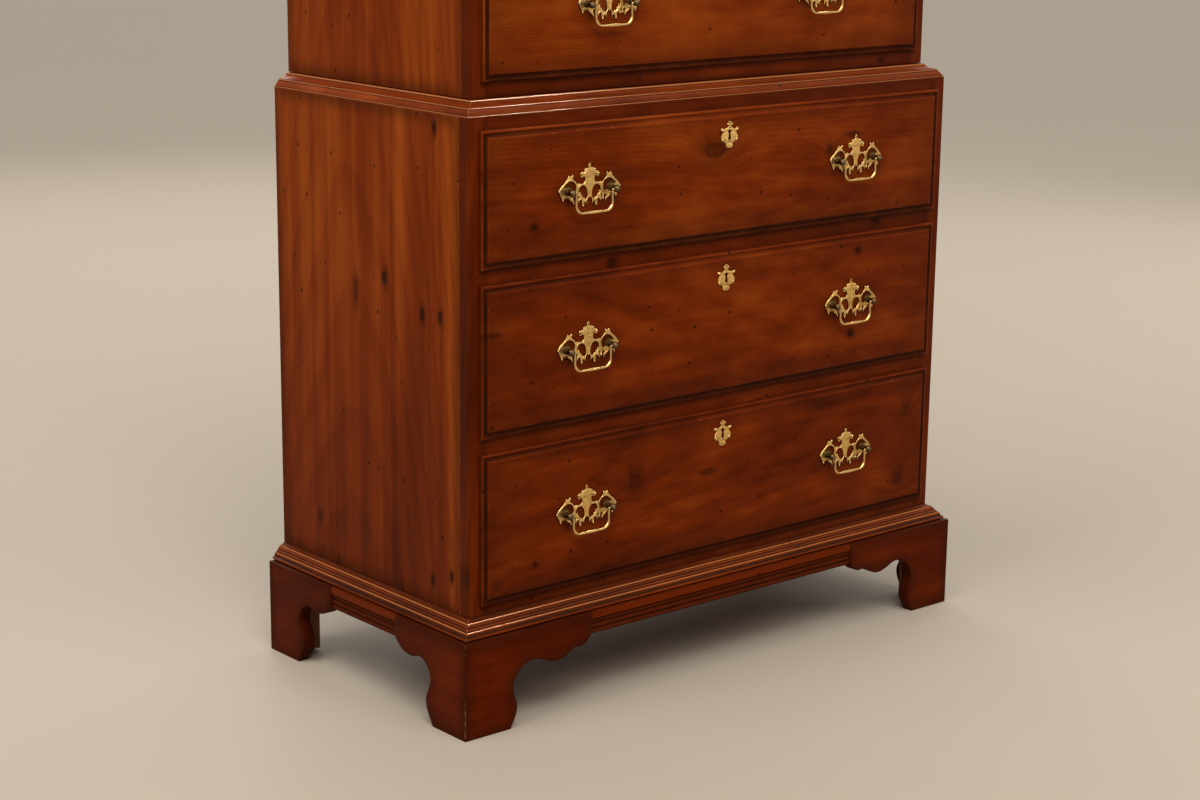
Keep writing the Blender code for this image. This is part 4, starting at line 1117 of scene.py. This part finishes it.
PLATE_EDGE = [
    (0, 39, 1), (1.9, 36.2), (2.6, 34.2), (1.2, 32.7, 1), (3, 32.4), (8, 31.2), (10.6, 28.6), (9.6, 27.2, 1),
    (13, 27.4), (16.4, 25.4), (17.6, 22.2), (15.8, 19.4), (13.6, 18.8), (12.6, 20.6, 1), (10.4, 20.4),
    (8.6, 17.4), (9, 13.6), (11.8, 10.8), (16.4, 10.6), (20.6, 11.2), (23.4, 9.8, 1), (26, 13),
    (28.6, 15.6), (31, 18), (31.2, 25, 1), (35, 21.6, 1), (39.4, 24, 1), (41.2, 19.4), (44, 15.8), (49, 11.6),
    (54, 7), (57.2, 2.2, 1), (55.6, 0), (53, -5), (51, -8, 1), (48.8, -13.6, 1), (46.6, -8.6, 1), (43, -8.8),
    (39, -9), (35.6, -12), (31.6, -14.6), (28.8, -18.6, 1), (28.8, -13.6), (30.4, -9.8), (28.2, -6.6, 1),
    (26.5, -9), (26.3, -13), (24.5, -15.2), (22.8, -13), (22.9, -9), (22, -6.6, 1), (20.8, -9), (21.8, -12.4),
    (20.8, -17.4, 1), (18, -13.6), (15.8, -12.4), (14.4, -14.6), (14, -19), (12.4, -23.6, 1), (10.2, -19.4),
    (9.8, -15.9, 1), (7.4, -16.2), (5, -19.6, 1), (4.9, -15.6), (4.3, -12.6), (2.8, -10), (0, -7.8, 1),
]
PLATE_EYE = [
    (4, -6.5), (4.4, -1.5), (6.4, 4.2), (10.2, 7.3), (15, 7.5), (18.9, 4.8), (20.3, 0.6), (19.4, -2.8),
    (17.6, -1), (16.6, -5), (13.8, -6.2), (13.2, -9.4), (10, -9.8), (8.4, -12), (5.4, -10.8),
]
PLATE_CRESCENT = [
    (25, 3.4), (25.6, 8.6), (29.4, 13.4), (36.4, 15.2), (43.6, 11.4), (46.4, 7.6), (41.2, 9.4), (35.4, 7.6),
    (32.4, 3.4), (32.2, -1.6), (28.4, -2.4),
]
PLATE_RIMS = [
    [(34.5, 19.6), (38.6, 18.2), (43, 14.8), (49, 10.2), (54.2, 4.6), (54.6, 0), (52, -5), (47.4, -7.3),
     (42, -7.4)],
    [(2.2, 29.6), (6.6, 28.8), (9.8, 24.6), (14.4, 24.4), (15.4, 21.4)],
    [(8, 17.6), (7.8, 13.4), (10.6, 9.4), (16, 9.2), (20.8, 6.8), (22.4, 2), (22.2, -4)],
    [(2.4, -8), (6.4, -13.2), (10, -14), (12.2, -20)],
    [(9.4, -13), (14.4, -10.6), (17.8, -6), (19.4, -4.6)],
    [(15, -10.8), (18.6, -11.4), (20.2, -15)],
    [(24.4, -4), (24.5, -12.6)],
    [(38, -7), (34.4, -10.4), (30.8, -13.2), (29.6, -16)],
    [(24.8, 11), (28, 14), (33.4, 16.4)],
]
PLATE_BEADS = [
    (0, 35.6, 1.3), (9.2, 29.6, 1.2), (15.6, 23.2, 1.6), (12.4, -21, 1.1), (5.1, -17.4, 1), (20.6, -15.2, 1),
    (31.8, 22.4, 1.2), (38.6, 21.6, 1.2), (49, -10.6, 1), (0, -9.2, 0.9), (56, 2, 1.1), (24.5, -13.2, 1.3),
    (18.1, -2.9, 1), (29.4, -16.2, 0.9),
]
SHIELD_EDGE = [
    (0, 20.3), (2.4, 19.2), (2.6, 17.4), (4, 18), (5.8, 16.2), (5, 14.2), (2.4, 13.6), (1.6, 12.8, 1),
    (3.6, 11.6), (7, 9.4), (10.6, 8.8), (14.5, 10.2), (17.4, 9.6), (17.8, 7), (15.6, 5.6), (12.8, 4.8),
    (14.4, 1.8), (17, -3.4), (16.2, -8), (13.4, -10.2), (10.6, -9.4), (9, -12.2), (6.2, -12.6),
    (3.4, -11.3, 1), (5.6, -13.2), (7, -16.6), (4.4, -19.2), (0, -19.9),
]
SHIELD_BEADS = [(0, 17.6, 1.2), (0, 10.8, 1.2), (15, 7.8, 1.5), (13.6, -6.6, 1.3)]


def smooth_path(places, steps=4):
    """Points along a Catmull-Rom curve through the given places."""
    ends = np.array([places[0], *places, places[-1]])
    path = []
    for p, q, r, s in zip(ends, ends[1:], ends[2:], ends[3:]):
        for t in [step / steps for step in range(steps)]:
            bend = (2 * p - 5 * q + 4 * r - s) * t ** 2 + (3 * q - p - 3 * r + s) * t ** 3
            path.append(q + 0.5 * ((r - p) * t + bend))
    return path + [places[-1]]


def raised(front, rims, beads):
    """Cast detail on the front of a plate: tapering ribs and beads, on both halves."""
    dome = [pi * (0.02 + 0.96 * step / 8) for step in range(9)]
    made = []
    for sign in (-1, 1):
        for rim in rims:
            path = smooth_path([(sign * x, z) for x, z in rim])
            shares = np.linspace(0, 1, len(path))
            radii = [(0.3 + 0.55 * sin(pi * (0.12 + 0.8 * share))) * MM for share in shares]
            made.append(wire("rib", [(x * MM, (0.1 - front) * MM, z * MM) for x, z in path], radii))
        for x, z, radius in beads:
            if x or sign > 0:
                place = Matrix.Translation((sign * x * MM, -front * MM, z * MM)) @ FORWARD
                profile = [(radius * sin(turn), 0.8 * radius * cos(turn)) for turn in dome]
                made.append(turned("bead", profile, place, 12))
    return made


def shade_brass(mesh, front, seat):
    """Tarnish on the walls and the back, tarnish and painted shade round the posts' seats, and worn bright
    metal with painted highlights where it stands proud.
    """
    places = points_of(mesh) / MM
    out = -places[:, 1]
    glaze = np.clip((front - 0.25 - out) / 0.8, 0, 1) * 0.85
    # Painted shade and tarnish round each post's seat
    if seat:
        reach = np.hypot(np.abs(places[:, 0]) - seat, places[:, 2] - 1)
        glaze = np.maximum(glaze, np.interp(reach, [8.5, 10.5], [0.9, 0]))
    set_marks(mesh, glaze, np.clip((out - front + 0.1) / 0.8, 0, 1))


def cast_plate(name, loops, thick, rims, beads, resolution, seat=None):
    back = FACE_GAP / MM
    front = back + thick
    middle = upright(-(back + thick / 2) * MM)
    obj = plate_of(name, loops, thick * MM, middle, resolution=resolution, rounding=0.6 * MM, steps=2)
    obj = combine(obj, raised(front, rims, beads), "UNION")
    shade_brass(obj.data, front, seat)
    return obj


def make_plate():
    holes = [outline(hole, sign * MM) for hole in (PLATE_EYE, PLATE_CRESCENT) for sign in (-1, 1)]
    loops = [mirrored(PLATE_EDGE), *holes]
    return cast_plate("plate", loops, 2.0, PLATE_RIMS, PLATE_BEADS, 4, POST_SPACING / MM / 2)


def make_shield():
    return cast_plate("shield", [mirrored(SHIELD_EDGE), mirrored(KEYHOLE)], 1.3, [], SHIELD_BEADS, 5)


def make_post():
    """Ball with the bail's bore, waisted neck, collar and shaft."""
    ball, neck, centre = 5.5, 2.2, PIVOT_OUT / MM
    turns = [pi * (0.1 + 0.76 * step / 12) for step in range(13)]
    profile = [(0.05, centre + ball + 0.5), (0.9, centre + ball + 0.35), (1.3, centre + ball - 0.1)]
    profile += [(ball * sin(turn), centre + ball * cos(turn)) for turn in turns]
    profile += [(2.5, 6.9), (2.6, 5.4), (3.6, 4.4), (4.9, 3.6), (4.9, 2.7), (4.6, 2.35), (neck, 2.35)]
    profile += [(neck, -20.3), (0.05, -20.3)]
    across = Matrix.Translation((0, -PIVOT_OUT, 0)) @ Matrix.Rotation(pi / 2, 4, "Y")
    bore = turned("bore", ((2, -8), (2, 8)), across, 20)
    post = combine(turned("post", profile, FORWARD, 28), [bore])
    out = -points_of(post.data)[:, 1] / MM
    # Painted shade and dark reflection, with tarnish, over the post, darkest at its seat and shaft; the front
    # of the ball is worn bright, with a painted highlight
    set_marks(post.data, np.where(out < 12, 0.92, 0.75), np.clip((out - 15) / 6, 0, 1))
    return post


def make_nut():
    profile = [(2.25, -20.35), (4.6, -20.35), (5, -20.8), (5, -22.9), (4.6, -23.3), (2.3, -23.3)]
    return turned("nut", profile, FORWARD, 6)


def make_bail():
    """Pins, legs and a bar that swells to its middle, with a knuckle at each lower corner."""
    leg, drop, corner, elbow = 33.5, 30.0, 12.0, 2.0
    half = [(42.7, 0, 1.7)]
    for turn in [pi / 12 * step for step in range(7)]:
        half.append((leg + elbow * (1 - sin(turn)), -elbow * (1 - cos(turn)), 1.7))
    for step in range(1, 5):
        half.append((leg, -elbow - step * (drop - corner - elbow) / 5, 1.7))
    for step in range(13):
        turn = pi / 24 * step
        radius = 1.75 + 0.75 * exp(-(((step - 6) / 3) ** 2))
        half.append((leg - corner * (1 - cos(turn)), corner * (1 - sin(turn)) - drop, radius))
    for share in [step / 8 for step in range(1, 9)]:
        half.append(((leg - corner) * (1 - share), -drop, 1.75 + 0.85 * sin(share * pi / 2) ** 2))
    path = half + [(-across, up, radius) for across, up, radius in half[-2::-1]]
    points = [(across * MM, 0, up * MM) for across, up, _ in path]
    bail = wire("bail", points, [radius * MM for _, _, radius in path], 12)
    places = points_of(bail.data) / MM
    # Tarnish all over, with painted shade on the back of the bail and near its pins; worn bright towards its
    # front and its bar
    behind, high = np.clip((places[:, 1] + 0.6) / 2.4, 0, 1), places[:, 2] > -3
    wear = np.clip(-places[:, 1] / 3 - places[:, 2] / 80, 0, 0.35)
    set_marks(bail.data, 0.12 + 0.5 * behind + 0.3 * high, wear)
    return bail


def stamp(template, name, place, material, body, replaced=()):
    """A copy of a template's mesh, moved into place."""
    mesh = template.data.copy()
    mesh.name = name
    mesh.transform(Matrix.Translation(place))
    dress(linked(name, mesh), material, "X", body, "aged_brass", replaced)


def pull(drawer_name, bail, pivot, face):
    x, _, z = pivot
    node = bail.replace("_bail", "_plate")
    stamp(PLATE, node + "_backplate", (x, face, z), BRASS, drawer_name, [node])
    for side, sign in SIDES:
        place = (x + sign * POST_SPACING / 2, face, z)
        stamp(POST, f"{node}_post_{side}", place, BRASS_PAINTED_SHADE, drawer_name)
        stamp(NUT, f"{node}_nut_{side}", place, BRASS_PAINTED_SHADE, drawer_name)
    stamp(BAIL, bail + "_handle", pivot, BRASS, bail, [bail])


# Stage, lights and camera


def build_stage():
    floor = as_object("floor", box_shape((-30, -30, -0.02), (30, 30, 0)))
    floor.data.materials.append(floor_paint("pale floor", (0.40, 0.345, 0.28)))

    # The sky is brighter to look at than the light that it gives.
    given, looked_at = 0.14, 0.56
    g = Graph("soft light", "worlds", "Background")
    g.join("Color", (1.0, 0.96, 0.91, 1.0))
    seen = g.node("LightPath", {}, "Is Camera Ray")
    for kind in ("Is Glossy Ray", "Is Transmission Ray"):
        seen = g.math("MAXIMUM", seen, g.node("LightPath", {}, kind))
    g.join("Strength", g.times(seen, looked_at - given, given))
    bpy.context.scene.world = g.owner


def light(name, kind, power, colour, towards, **settings):
    """A light that shines along a direction. The settings are those of its kind."""
    data = bpy.data.lights.new(name, kind)
    data.energy, data.color = power, colour
    for key, value in settings.items():
        setattr(data, key, value)
    obj = linked(name, data)
    obj.rotation_euler = towards.to_track_quat("-Z", "Y").to_euler()
    return obj


def lamp(name, place, target, size, power, gleam_only=False):
    towards = Vector(target) - Vector(place)
    colour = (1.0, 0.95, 0.88)
    obj = light(name, "AREA", power, colour, towards, shape="RECTANGLE", size=size[0], size_y=size[1])
    obj.location = place
    obj.visible_diffuse = not gleam_only


def sky(name, source, strength, spread):
    """Even light from one side of the sky, so that the floor is lit the same near and far."""
    light(name, "SUN", strength, (1.0, 0.96, 0.9), -Vector(source), angle=radians(spread))


def build_lights():
    sky("sky left", (-0.75, 0, 1.2), 1.2, 45)
    sky("sky front", (-0.15, -0.75, 1.2), 1.1, 45)
    lamp("left", (-2.8, -0.2, 3.4), (0, 0, 1.0), (1.6, 1.6), 34)
    sky("sky behind", (0.7, 0.7, 1.1), 0.5, 60)
    lamp("front left", (-1.7, -2.5, 3.7), (0, 0, 0.9), (1.6, 1.4), 80)
    lamp("front", (0.9, -4.6, 3.8), (0, 0, 0.8), (2.0, 1.6), 45)
    lamp("gleam", (2.6, -1.0, 4.6), (-0.3, 0, 0.6), (0.3, 0.3), 30, gleam_only=True)
    lamp("glow", (3.6, -3.4, 1.3), (0, 0, 0.8), (3.0, 2.2), 16, gleam_only=True)
    lamp("rear", (1.5, 4.8, 2.8), (0, 0, 0.9), (3.0, 2.0), 70)
    lamp("right", (4.6, 0.9, 2.2), (0, 0, 0.9), (2.4, 2.0), 45)


def build_camera():
    """Stands where the photograph was taken from: solved from the straight edges of the lower case."""
    yaw, pitch, roll = [radians(turn) for turn in (40.405, -13.657, 0.626)]
    forward = Vector((sin(yaw) * cos(pitch), cos(yaw) * cos(pitch), sin(pitch)))
    level = Vector((cos(yaw), -sin(yaw), 0))
    upward = level.cross(forward)
    right = level * cos(roll) + upward * sin(roll)
    up = upward * cos(roll) - level * sin(roll)
    camera = linked("camera", bpy.data.cameras.new("camera"))
    camera.data.lens = 71.206
    camera.data.sensor_width = 36.0
    camera.data.clip_end = 80
    rotation = Matrix((right, up, -forward)).transposed().to_4x4()
    camera.matrix_world = Matrix.Translation((-2.4215, -2.7895, 1.2748)) @ rotation
    bpy.context.scene.camera = camera


def build_case():
    for tier in TIERS:
        face_frame(tier)
        back_boards(tier)
        for side, sign in SIDES:
            side_panel(tier, side, sign)
    mouldings()
    for end in ("front", "rear"):
        for side, sign in SIDES:
            foot(end, side, sign)
    apron()


bpy.context.scene.view_settings.view_transform = "Standard"
build_camera()
build_stage()
build_lights()
build_case()
PLATE, SHIELD, POST, NUT, BAIL = make_plate(), make_shield(), make_post(), make_nut(), make_bail()
for name in DRAWERS:
    drawer(name)
for template in (PLATE, SHIELD, POST, NUT, BAIL):
    bpy.data.objects.remove(template)
